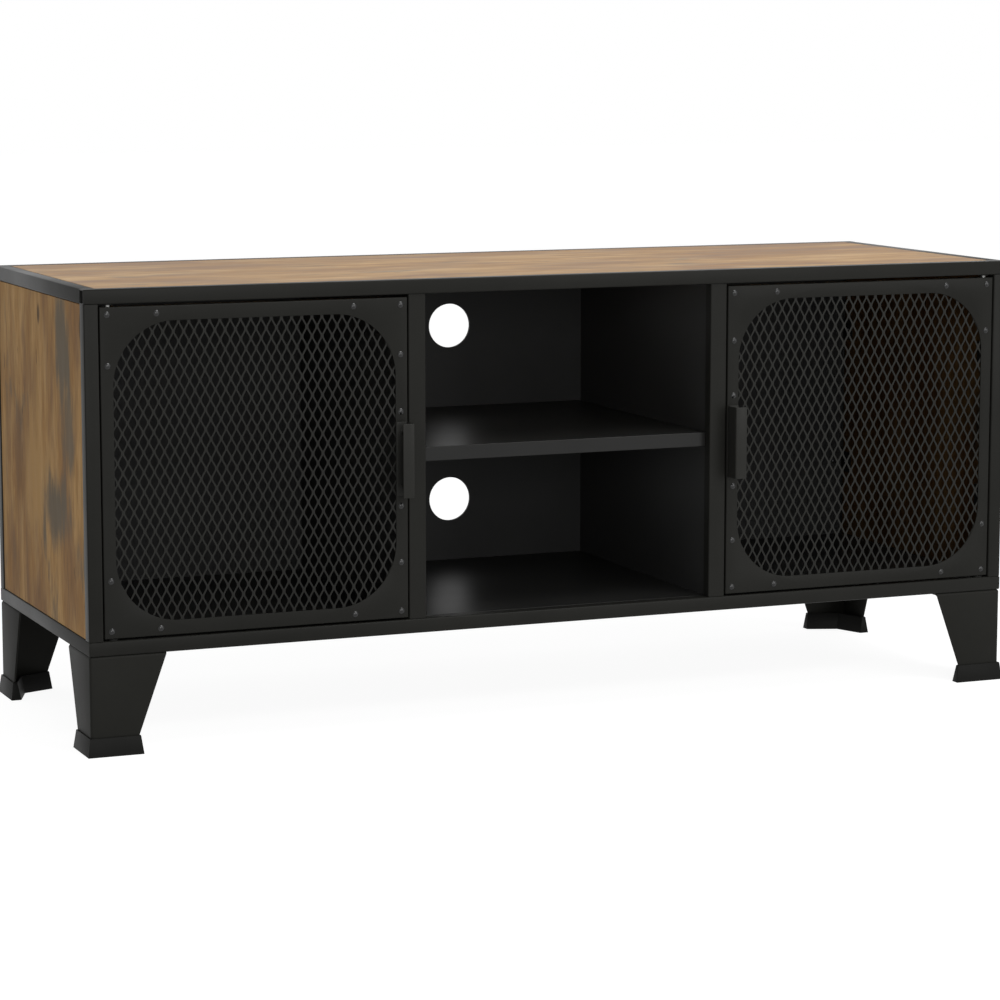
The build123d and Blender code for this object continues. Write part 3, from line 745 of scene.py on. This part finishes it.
def copy_to_seats(piece, seats, name):
    """Copies a modelled fastener to each seat and joins the copies in one piece."""
    twins = []
    for seat in seats:
        twin = twin_of(piece)
        twin.matrix_world = seat
        twins.append(twin)
    deselect()
    for twin in twins:
        twin.select_set(True)
    bpy.context.view_layer.objects.active = twins[0]
    apply_place()
    bpy.ops.object.join()
    twins[0].name = name
    return twins[0]


for side in ("left", "right"):
    for pattern, group in ((door_rivet, "door_rivets"), (handle_rivet, "handle_rivets")):
        node = f"{side}_{group}"
        rivets = copy_to_seats(pattern, fastener_seats(node), node + "_domed")
        hand_in(rivets, f"{side}_door", "rivet_steel", node)
for pattern in (door_rivet, handle_rivet):
    bpy.data.objects.remove(pattern)
print("rivets of the last pull, faces:", len(rivets.data.polygons))

# %% [markdown]
# ## Pull handles
# Each pull is a strip of sheet folded twice: one leg is riveted to the door, the web stands
# out at the door's free edge, and a lip runs back in front of the door for the fingers.
# The web is a plane, its two long edges are extruded to the leg and the lip, and the folds
# are rounded. A hollowed block would have the same outline, but not the even sheet and the
# true bends of a folded strip.

# %% Handles
handle_sheet = 0.0015
handle_fold = 0.0022
handle_rim_round = 0.0007


def pull_handle(side):
    """The folded pull of one door."""
    low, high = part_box(f"{side}_handle")
    web_x, open_x = (high.x, low.x) if side == "left" else (low.x, high.x)
    deselect()
    bpy.ops.mesh.primitive_plane_add(
        size=1,
        location=(web_x, (low.y + high.y) / 2, (low.z + high.z) / 2),
        rotation=(0, math.radians(90), 0),
    )
    bpy.context.object.scale = (high.z - low.z, high.y - low.y, 1)
    pull = name_piece(f"{side}_pull")
    with editing(pull):
        for fold_y in (low.y, high.y):
            select("EDGE", lambda a, b: max(abs(a.y - fold_y), abs(b.y - fold_y)) < small)
            extrude(x=open_x - web_x)
        select("EDGE", lambda a, b: max(abs(a.x - web_x), abs(b.x - web_x), abs(a.y - b.y)) < small)
        bevel(handle_fold, segments=6)
        turn_outwards()
    thicken(pull, handle_sheet)
    round_rims(pull, handle_rim_round, segments=3)
    hand_in(pull, f"{side}_door", "black_steel", f"{side}_handle")
    return len(pull.data.polygons)


for side in ("left", "right"):
    print(side, "pull, faces:", pull_handle(side))

# %% [markdown]
# ## Legs
# A leg is one sheet folded to an L that tapers to the floor, with a flange folded in under
# the rails. Three sides of a box are kept, the lower corners are drawn in, the flange gets
# its cut-off corner, and all the folds are rounded before the sheet is thickened. The leg is
# modelled once at the origin, where its corner is easy to select.

# %% Leg pattern
leg_fold = 0.003
leg_flange = 0.030
leg_neck = 0.0505
cap_height = 0.019


def is_fold(a, b, top):
    """Whether an edge of the leg pattern is a fold: its upright corner or an outer top edge."""
    upright = max(a.x, b.x, a.y, b.y) < small
    under_rail = min(a.z, b.z) > top - small and (max(a.x, b.x) < small or max(a.y, b.y) < small)
    return upright or under_rail


def leg_pattern():
    """The folded sheet of a leg, with its outer corner on the upright axis."""
    low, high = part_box("front_left_leg")
    size = high - low
    taper = (size.x - leg_neck) / (high.z - cap_height)
    foot_reach = leg_neck - taper * (cap_height - low.z)
    leg = block("leg_pattern", Vector((0, 0, low.z)), Vector((size.x, size.y, high.z)))
    with editing(leg):
        select("FACE", lambda place, facing: max(facing.x, facing.y, -facing.z) > square_on)
        bpy.ops.mesh.delete(type="FACE")
        select("VERT", lambda place: place.z < low.z + small and place.x > small)
        move(x=foot_reach - size.x)
        select("VERT", lambda place: place.z < low.z + small and place.y > small)
        move(y=foot_reach - size.y)
        select("VERT", lambda place: min(place.x, place.y) > small)
        bevel(size.x - leg_flange, segments=1, kind="VERTICES")
        select("EDGE", lambda a, b: is_fold(a, b, high.z))
        bevel(leg_fold, segments=5)
    return leg


pattern = leg_pattern()
print("leg pattern, faces:", len(pattern.data.polygons))

# %% [markdown]
# ## Legs at the corners
# The legs are mirror images of each other, so a copy of the pattern is turned over to each
# corner by a negative scale. That can turn its faces inside out, so they are turned outwards
# again before the sheet gets its thickness, because Solidify follows them.

# %% Legs
leg_sheet = 0.002
leg_rim_round = 0.0004
leg_corners = {
    f"{end}_{side}": (sign_x, sign_y)
    for end, sign_y in (("front", 1), ("rear", -1))
    for side, sign_x in (("left", 1), ("right", -1))
}


def turned_copy(pattern, name, corner):
    """A copy of a corner piece, turned over to its corner of the frame, faces outwards."""
    sign_x, sign_y = leg_corners[corner]
    twin = twin_of(pattern)
    twin.name = f"{corner}_{name}"
    twin.scale = (sign_x, sign_y, 1)
    twin.location = (
        frame_low.x if sign_x > 0 else frame_high.x,
        frame_low.y if sign_y > 0 else frame_high.y,
        0,
    )
    make_active(twin)
    apply_place()
    face_outwards(twin)
    return twin


for corner in leg_corners:
    leg = turned_copy(pattern, "folded_leg", corner)
    thicken(leg, leg_sheet)
    round_rims(leg, leg_rim_round)
    hand_in(leg, "cabinet", "black_steel", f"{corner}_leg")
bpy.data.objects.remove(pattern)
print("legs:", list(leg_corners))

# %% [markdown]
# ## Foot caps
# Moulded caps take the lower ends of the leg plates. The sole starts as a square plane whose
# inner corner is cut back to the shape of the L. It is extruded to the height of the cap,
# the upper outline is drawn in for the flare, and the top is sunk to a socket. Single walls
# could be set up round the leg instead, but one drawn shell has no seams to close.

# %% Foot caps
cap_wall = 0.0013
cap_flare = 0.004
cap_end_flare = 0.0025
cap_sole_width = 0.007
cap_elbow = 0.020
cap_elbow_draw = 0.0034
cap_sole = 0.003
cap_rim = cap_wall - 0.0002
cap_rim_round = 0.0004


def cap_pattern():
    """A foot cap with the leg's outer corner on the upright axis."""
    low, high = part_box("front_left_foot")
    size = high - low
    end = size.x - cap_flare
    height = size.z
    deselect()
    centre = size.x / 2 - cap_flare
    bpy.ops.mesh.primitive_plane_add(size=size.x, location=(centre, centre, 0))
    cap = name_piece("cap_pattern")
    with editing(cap):
        select("VERT", lambda place: min(place.x, place.y) > 0)
        bevel(end - cap_sole_width, segments=2, kind="VERTICES")
        select("VERT", lambda place: abs(place.x - place.y) < small and place.x > 0)
        elbow = next(v.co.x for v in bmesh.from_edit_mesh(cap.data).verts if v.select)
        move(x=cap_elbow - elbow, y=cap_elbow - elbow)
        select_all()
        extrude(z=height)

        def select_top(test):
            select("VERT", lambda place: place.z > small and test(place))

        top_inner = leg_sheet + cap_wall
        for axis in ("x", "y"):
            select_top(lambda place: getattr(place, axis) < small)
            move(**{axis: cap_flare - cap_wall})
            select_top(lambda place: getattr(place, axis) > end - small)
            move(**{axis: -cap_end_flare})
            select_top(lambda place: abs(getattr(place, axis) - cap_sole_width) < small)
            move(**{axis: top_inner - cap_sole_width})
        select_top(lambda place: abs(place.x - cap_elbow) + abs(place.y - cap_elbow) < small)
        move(x=-cap_elbow_draw, y=-cap_elbow_draw)
        select("FACE", lambda place, facing: facing.z > square_on)
        bpy.ops.mesh.inset(thickness=cap_rim)
        extrude(z=cap_sole - height)
    face_outwards(cap)
    return cap


pattern = cap_pattern()
for corner in leg_corners:
    cap = turned_copy(pattern, "foot_cap", corner)
    round_rims(cap, cap_rim_round, angle=25)
    hand_in(cap, "cabinet", "black_plastic", f"{corner}_foot")
bpy.data.objects.remove(pattern)
print("foot caps, faces of one:", len(cap.data.polygons))

# %% [markdown]
# ## Screws
# Pan-head screws hold the boards, the back panel, the dividers, the legs and the catches.
# One screw of each size is turned from a cylinder: its head is rounded, a crossed recess is
# cut into it with a Boolean modifier, and the shank is drawn out below. The recess crosses
# the round faces of the head, so a Boolean is easier here than cutting by hand.

# %% Screw pattern
head_round = 0.6
point_share, point_taper = 0.1, 0.5
recess_length, recess_width, recess_depth = 0.52, 0.13, 0.55
recess_taper = 0.6


def pan_screw(name, head_radius, head_height, shank_radius, length):
    """One screw with the top of its head at the origin and its shank below."""
    deselect()
    bpy.ops.mesh.primitive_cylinder_add(
        vertices=24, radius=head_radius, depth=head_height, location=(0, 0, -head_height / 2)
    )
    screw = name_piece(name)
    with editing(screw):
        select("EDGE", lambda a, b: min(a.z, b.z) > -small)
        bevel(head_round * head_height, segments=4)
        select("FACE", lambda place, facing: facing.z < -square_on)
        bpy.ops.mesh.inset(thickness=head_radius - shank_radius)
        extrude(z=(point_share - 1) * length)
        extrude(z=-point_share * length)
        draw_in(point_taper)
    deep = recess_depth * head_height
    for x, y in ((recess_length, recess_width), (recess_width, recess_length)):
        x *= head_radius
        y *= head_radius
        cutter = block("recess", Vector((-x, -y, -deep)), Vector((x, y, deep)))
        with editing(cutter):
            select("FACE", lambda place, facing: facing.z < -square_on)
            draw_in(recess_taper)
        apply_modifier(screw, "BOOLEAN", object=cutter, operation="DIFFERENCE", solver="EXACT")
        bpy.data.objects.remove(cutter)
    face_outwards(screw)
    smooth(screw)
    return screw


print("recess, as a share of the head:", recess_length, "by", recess_width)

# %% [markdown]
# ## Screws in place
# Only the leg screws have a larger head, so the others share one and differ in length. Two
# kinds hold the back panel: short ones from the front into the tabs, and long ones from behind
# into the boards.

# %% Screws
small_head = {"head_radius": 0.0032, "head_height": 0.0016, "shank_radius": 0.0016}

board_screw = pan_screw("board_screw", length=0.010, **small_head)
edge_screw = pan_screw("edge_screw", length=0.028, **small_head)
long_screw = pan_screw("long_screw", length=0.0205, **small_head)
leg_screw = pan_screw(
    "leg_screw", head_radius=0.0045, head_height=0.0026, shank_radius=0.0024, length=0.0072
)
for pattern, node in (
    (board_screw, "panel_screws"),
    (edge_screw, "divider_screws"),
    (long_screw, "catch_screws"),
    (leg_screw, "leg_screws"),
):
    screws = copy_to_seats(pattern, fastener_seats(node), node + "_crossed")
    hand_in(screws, "cabinet", "zinc_steel", node)
back_seats = fastener_seats("back_panel_screws")
tab_screw = pan_screw("tab_screw", length=0.0075, **small_head)
forward = [seat for seat in back_seats if seat.col[2].y < 0]
backward = [seat for seat in back_seats if seat.col[2].y > 0]
into_tabs = copy_to_seats(tab_screw, forward, "back_tab_screws")
into_boards = copy_to_seats(long_screw, backward, "back_board_screws")
for screws in (into_tabs, into_boards):
    hand_in(screws, "cabinet", "zinc_steel", "back_panel_screws")
for pattern in (board_screw, edge_screw, long_screw, leg_screw, tab_screw):
    bpy.data.objects.remove(pattern)
print("screw heads at the back:", len(back_seats))

# %% [markdown]
# ## Effects that several finishes share
# Powder coat, melamine and moulded plastic all have a fine skin that breaks up the gloss,
# and hands leave broad soft marks on all of them. Each material could draw them for itself,
# but a change would then have to be made in each. So one node group draws both effects, and
# each finish places it with its own values.


# %% Node groups
def new_group(name, inputs, outputs):
    """An empty shader node group with named sockets. Returns the tree and its two ends."""
    group = bpy.data.node_groups.new(name, "ShaderNodeTree")
    for label, kind, value in inputs:
        socket = group.interface.new_socket(label, in_out="INPUT", socket_type=kind)
        if value is not None:
            socket.default_value = value
    for label, kind in outputs:
        group.interface.new_socket(label, in_out="OUTPUT", socket_type=kind)
    return group, group.nodes.new("NodeGroupInput"), group.nodes.new("NodeGroupOutput")


def noise(tree, vector, scale, detail=4.0, rough=0.55, distort=0.0):
    """Soft noise between 0 and 1."""
    inputs = {"Vector": vector, "Scale": scale, "Detail": detail}
    inputs.update({"Roughness": rough, "Distortion": distort})
    return add_node(tree, "TexNoise", inputs).outputs["Fac"]


def remap(tree, value, start, end=(0.0, 1.0), **settings):
    """Maps a value from one range to another and returns the new value."""
    inputs = {"Value": value, "From Min": start[0], "From Max": start[1]}
    inputs.update({"To Min": end[0], "To Max": end[1]})
    return add_node(tree, "MapRange", inputs, **settings).outputs[0]


skin, given, result = new_group(
    "coating_skin",
    [
        ("Vector", "NodeSocketVector", None),
        ("Grain Scale", "NodeSocketFloat", 1500.0),
        ("Gloss Low", "NodeSocketFloat", 0.35),
        ("Gloss High", "NodeSocketFloat", 0.45),
    ],
    [("Height", "NodeSocketFloat"), ("Roughness", "NodeSocketFloat"), ("Shade", "NodeSocketFloat")],
)
vector, grain_scale, gloss_low, gloss_high = given.outputs[:4]
grain = noise(skin, vector, scale=grain_scale, detail=3.0)
marks = noise(skin, vector, scale=9.0, rough=0.6)
join(skin, grain, result.inputs["Height"])
join(skin, remap(skin, marks, (0.3, 0.7), (gloss_low, gloss_high)), result.inputs["Roughness"])
join(skin, remap(skin, marks, (0.25, 0.75), (0.88, 1.12)), result.inputs["Shade"])
print("groups:", [group.name for group in bpy.data.node_groups])

# %% [markdown]
# ## Coated steel, plastic and black board
# All the black parts are the same recipe with other values: a dark base whose shade varies a
# little, a gloss that the skin breaks up, and a faint bump. Steel is satin, the boards are
# smoother and mirror the bright cable holes softly, and the plastic and the legs are matt.
# A row of the table gives the slot or piece, the name, the base colour, the range of the
# roughness, the scale of the grain, the strength of the bump and the specular level.


# %% Black finishes
def new_material(name):
    """A node material. Returns it with its tree, its shader and the object's coordinates."""
    material = bpy.data.materials.new(name)
    material.use_nodes = True
    tree = material.node_tree
    places = add_node(tree, "TexCoord").outputs["Object"]
    return material, tree, tree.nodes["Principled BSDF"], places


def add_relief(tree, shader, height, strength, distance):
    """Bends the normals by a height that is so deep in metres, at a share of full strength."""
    relief = add_node(tree, "Bump", {"Height": height, "Strength": strength, "Distance": distance})
    join(tree, relief.outputs[0], shader.inputs["Normal"])


def dark_finish(name, color, gloss, grain_scale, bump, specular):
    """A coated or moulded dark surface."""
    material, tree, shader, places = new_material(name)
    shader.inputs["Specular IOR Level"].default_value = specular
    inputs = {"Vector": places, "Grain Scale": grain_scale}
    inputs.update({"Gloss Low": gloss[0], "Gloss High": gloss[1]})
    coat = add_node(tree, "Group", inputs, node_tree=skin)
    shaded = blend_color(tree, 1.0, (*color, 1), coat.outputs["Shade"], "MULTIPLY")
    join(tree, shaded, shader.inputs["Base Color"])
    join(tree, coat.outputs["Roughness"], shader.inputs["Roughness"])
    add_relief(tree, shader, coat.outputs["Height"], strength=bump, distance=0.0002)
    return material


dark_recipes = (
    ("black_steel", "black_powder_coat", (0.0125, 0.0124, 0.0109), (0.34, 0.42), 1600, 0.2, 0.065),
    ("mesh_steel", "black_mesh_coat", (0.0165, 0.0164, 0.0148), (0.34, 0.44), 1900, 0.2, 0.08),
    ("rivet_steel", "black_rivet_gloss", (0.0025, 0.0025, 0.0023), (0.10, 0.14), 900, 0.03, 0.40),
    ("black_board", "black_melamine", (0.0125, 0.0125, 0.0119), (0.33, 0.37), 1100, 0.04, 0.11),
    # Painted shade: the shelf has a darker base than the other black boards, to hold down the light
    # on its top.
    ("shelf_board", "black_shelf_gloss", (0.0115, 0.0115, 0.0109), (0.31, 0.35), 1100, 0.03, 0.16),
    # Painted light: the dividers have a lighter base than the other black boards, for the light on
    # the niche walls.
    ("wall_board", "black_upright_board", (0.0290, 0.0290, 0.0284), (0.40, 0.46), 1100, 0.08, 0.10),
    ("black_plastic", "black_moulding", (0.0075, 0.0075, 0.0068), (0.40, 0.50), 1300, 0.3, 0.06),
    # Painted light: the pulls have a lighter base than the door coat, for the light on their webs.
    ("pull", "black_pull_coat", (0.0185, 0.0184, 0.0165), (0.30, 0.38), 1600, 0.2, 0.08),
    ("leg", "black_leg_coat", (0.0140, 0.0139, 0.0122), (0.46, 0.54), 1600, 0.2, 0.05),
    # Painted shade: the tube plugs are nearly black, for the shade inside the open tube ends.
    ("plug", "dark_tube_plug", (0.0035, 0.0032, 0.0030), (0.55, 0.65), 1300, 0.3, 0.02),
    ("back_sheet", "black_hardboard", (0.0270, 0.0270, 0.0265), (0.46, 0.56), 1000, 0.12, 0.10),
)
finishes = {slot: dark_finish(*recipe) for slot, *recipe in dark_recipes}
print("dark finishes:", list(finishes))

# %% [markdown]
# ## Bare metal
# The hinge pins are turned steel, the screws are plated in dark zinc, and the catches hold
# dull ferrite magnets. They are small, so one noise, stretched along the marks of the tool,
# is enough for both the gloss and the tone. A row of the table gives the slot, the name, the
# colour, the range of the roughness, the stretch of the noise and how metallic it is.

# %% Metals
dark_share = 0.85


def stretched_noise(tree, vector, scale, **settings):
    """Noise that is drawn out by its own amount along each axis."""
    turn = add_node(tree, "Mapping", {"Vector": vector, "Scale": scale})
    return noise(tree, turn.outputs[0], scale=1.0, **settings)


def bare_metal(name, color, gloss, stretch, metallic):
    """Metal whose gloss varies along fine tool marks."""
    material, tree, shader, places = new_material(name)
    shader.inputs["Metallic"].default_value = metallic
    marks = stretched_noise(tree, places, stretch, detail=3.0, rough=0.5)
    join(tree, remap(tree, marks, (0.0, 1.0), gloss), shader.inputs["Roughness"])
    tone = add_node(tree, "ValToRGB", {0: marks})
    tone.color_ramp.elements[0].color = (*(dark_share * x for x in color), 1)
    tone.color_ramp.elements[1].color = (*color, 1)
    join(tree, tone.outputs[0], shader.inputs["Base Color"])
    return material


metal_recipes = (
    ("bright_steel", "turned_steel", (0.27, 0.27, 0.26), (0.48, 0.58), (300, 300, 4000), 1.0),
    ("zinc_steel", "black_zinc", (0.10, 0.10, 0.105), (0.28, 0.42), (900, 900, 900), 1.0),
    ("magnet", "ferrite", (0.05, 0.05, 0.052), (0.5, 0.65), (800, 800, 800), 0.0),
)
finishes.update((slot, bare_metal(*recipe)) for slot, *recipe in metal_recipes)
print("metals:", [slot for slot, *recipe in metal_recipes])

# %% [markdown]
# ## Rustic wood print
# The top and the sides carry a printed picture of old boards: warm brown with streaks, grey
# weathered patches and a few dark flecks. An image would need a file beside the script. The
# group below draws the print along its own X axis instead, from noise that is stretched by
# different amounts, and soft masks lay each layer over the last.

# %% Rustic wood group
wood, given, result = new_group(
    "rustic_print",
    [("Vector", "NodeSocketVector", None)],
    [("Color", "NodeSocketColor"), ("Roughness", "NodeSocketFloat"), ("Height", "NodeSocketFloat")],
)


def mask(tree, value, low, high):
    """A soft step from 0 to 1 between two values."""
    return remap(tree, value, (low, high), interpolation_type="SMOOTHSTEP")


vector = given.outputs["Vector"]
boards = stretched_noise(wood, vector, (5, 20, 20), detail=3.0, distort=0.4)
streaks = stretched_noise(wood, vector, (11, 80, 80), detail=5.0, distort=0.3)
lines = stretched_noise(wood, vector, (15, 190, 190), detail=4.0, rough=0.6, distort=0.2)
fibres = stretched_noise(wood, vector, (40, 420, 420), detail=3.0)
weather = stretched_noise(wood, vector, (7, 20, 20), detail=4.0, rough=0.6, distort=0.6)
flecks = stretched_noise(wood, vector, (26, 150, 150), detail=2.0)

warm = (0.300, 0.160, 0.056, 1)
ochre = (0.420, 0.250, 0.092, 1)
umber = (0.185, 0.094, 0.034, 1)
ash = (0.125, 0.100, 0.068, 1)
bark = (0.070, 0.040, 0.016, 1)
color = blend_color(wood, mask(wood, boards, 0.36, 0.64), umber, ochre)
color = blend_color(wood, mask(wood, streaks, 0.34, 0.76), color, warm)
line_strength = calculate(wood, "MULTIPLY", mask(wood, lines, 0.54, 0.68), 0.4)
color = blend_color(wood, line_strength, color, umber)
color = blend_color(wood, mask(wood, weather, 0.58, 0.76), color, ash)
color = blend_color(wood, mask(wood, flecks, 0.71, 0.79), color, bark)
shade = remap(wood, fibres, (0.3, 0.7), (0.85, 1.22))
color = blend_color(wood, 1.0, color, shade, "MULTIPLY")
join(wood, color, result.inputs["Color"])
join(wood, remap(wood, streaks, (0.3, 0.7), (0.46, 0.58)), result.inputs["Roughness"])
join(wood, fibres, result.inputs["Height"])
print("wood group, nodes:", len(wood.nodes))

# %% [markdown]
# ## Patches at known places
# The left board has a grey band, a pale stripe and dark knots where noise alone would not put
# them. This group draws one soft patch round a place that is given in metres. Noise makes its
# outline ragged, because a plain ellipse would look painted on.

# %% Soft patch group
raggedness = 2.2
patch_outside, patch_inside = 1.35, 0.45

patch, given, result = new_group(
    "soft_patch",
    [
        ("Vector", "NodeSocketVector", None),
        ("Place", "NodeSocketVector", None),
        ("Size", "NodeSocketVector", None),
        ("Strength", "NodeSocketFloat", 0.8),
    ],
    [("Mask", "NodeSocketFloat")],
)
vector, place, size, strength = given.outputs[:4]
offset = add_node(patch, "VectorMath", {0: vector, 1: place}, operation="SUBTRACT")
steps = add_node(patch, "VectorMath", {0: offset.outputs[0], 1: size}, operation="DIVIDE")
distance = add_node(patch, "VectorMath", {0: steps.outputs[0]}, operation="LENGTH")
ragged = stretched_noise(patch, vector, (60, 60, 16), detail=5.0, rough=0.65)
edge = calculate(patch, "MULTIPLY_ADD", ragged, raggedness, -raggedness / 2)
edge = calculate(patch, "ADD", distance.outputs["Value"], edge)
soft = mask(patch, edge, patch_outside, patch_inside)
join(patch, calculate(patch, "MULTIPLY", soft, strength), result.inputs["Mask"])
print("patch group, nodes:", len(patch.nodes))

# %% [markdown]
# ## Wood on a board
# A Mapping node turns the grain along the top and upright on the sides, and shifts it so that
# no two boards are alike. Patches are laid over the print. The inner faces of the side
# boards, which lie behind the doors, get painted shade: a darker tone for the dim light there.

# %% Wood on a board
through_board = 10.0
upright = (0, math.radians(90), 0)
inner_face = -0.5135
# Painted shade: this tone darkens the inner faces of the side boards for the dim light behind the
# doors.
inner_painted_shade_tone = (0.22, 0.21, 0.21, 1)


def rustic_finish(name, turn, shift, specular=0.3, inner_side=0, patches=()):
    """The wood print with its grain turned and shifted for one board.

    A side board gets painted shade on its inner side, which faces the way of inner_side along X.
    """
    material, tree, shader, places = new_material(name)
    shader.inputs["Specular IOR Level"].default_value = specular
    mapping = add_node(tree, "Mapping", {"Vector": places, "Rotation": turn, "Location": shift})
    print_group = add_node(tree, "Group", {"Vector": mapping.outputs[0]}, node_tree=wood)
    color = print_group.outputs["Color"]
    for place, size, strength, tone in patches:
        inputs = {"Vector": places, "Strength": strength}
        inputs.update({"Place": (0, *place), "Size": (through_board, *size)})
        spot = add_node(tree, "Group", inputs, node_tree=patch)
        color = blend_color(tree, spot.outputs["Mask"], color, tone)
    if inner_side:
        axes = add_node(tree, "SeparateXYZ", {0: places})
        depth = calculate(tree, "MULTIPLY", axes.outputs["X"], inner_side)
        inside = calculate(tree, "GREATER_THAN", depth, inner_face)
        # Painted shade: the inner face is darkened for the dim light behind the doors.
        inner_painted_shade = blend_color(tree, 1.0, color, inner_painted_shade_tone, "MULTIPLY")
        color = blend_color(tree, inside, color, inner_painted_shade)
    join(tree, color, shader.inputs["Base Color"])
    join(tree, print_group.outputs["Roughness"], shader.inputs["Roughness"])
    add_relief(tree, shader, print_group.outputs["Height"], strength=0.15, distance=0.0003)
    return material


print("grain of the sides is turned by, in degrees:", round(math.degrees(upright[1])))

# %% [markdown]
# ## Pieces with a finish of their own
# Pieces of one slot are not all alike: the shelf is glossier than the other black boards, the
# back panel is duller, and the pulls, the legs and the tube plugs have coats of their own.
# The dividers and the pulls carry painted light, a lighter base for the light that falls on
# them, and the shelf and the tube plugs carry painted shade, a darker base. A row of the
# patches gives the place across and up the left board, the size, the strength and the colour.

# %% Finishes of single pieces
left_patches = [
    ((-0.085, 0.408), (0.030, 0.066), 0.95, ash),
    ((-0.053, 0.236), (0.048, 0.036), 0.95, ash),
    ((-0.105, 0.320), (0.022, 0.046), 0.8, ash),
    ((0.099, 0.279), (0.030, 0.055), 0.85, umber),
    ((0.125, 0.150), (0.022, 0.040), 0.5, umber),
    ((0.033, 0.262), (0.034, 0.080), 0.8, ochre),
    ((0.007, 0.433), (0.005, 0.011), 0.9, bark),
    ((-0.155, 0.430), (0.006, 0.013), 0.8, bark),
]
own_finish = {
    "top_panel": rustic_finish("rustic_top", (0, 0, 0), (0.3, 1.7, 0.2)),
    "left_side_panel": rustic_finish("rustic_left", upright, (0, 0.4, 0), 0.03, 1, left_patches),
    "right_side_panel": rustic_finish("rustic_right", upright, (0, 2.4, 1), 0.03, -1),
    "rail_end_plugs": finishes["plug"],
    "back_panel": finishes["back_sheet"],
    "left_divider": finishes["wall_board"],
    "right_divider": finishes["wall_board"],
    "middle_shelf": finishes["shelf_board"],
    "left_handle": finishes["pull"],
    "right_handle": finishes["pull"],
    "left_handle_rivets": finishes["black_steel"],
    "right_handle_rivets": finishes["black_steel"],
}
own_finish.update((node, finishes["leg"]) for node in frame["nodes"] if node.endswith("_leg"))
finishes["dowel_wood"] = rustic_finish("beech_dowel", upright, (5.0, 0.0, 0.0))
print("with a finish of their own:", list(own_finish))

# %% [markdown]
# ## Every surface gets its finish
# A few pieces have a finish of their own. The others take that of their slot in the record,
# or of the slot that a new piece was given.

# %% Assign the finishes
slot_of = {part["node"]: part["material_slot"] for part in frame["record"]["subparts"]}
for node, part in frame["nodes"].items():
    part.material_slots[0].material = own_finish.get(node) or finishes[slot_of[node]]
for piece, node in made:
    piece.data.materials.clear()
    piece.data.materials.append(own_finish.get(node) or finishes[piece["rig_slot"]])
print("finished pieces:", len(made), "and nodes:", len(frame["nodes"]))
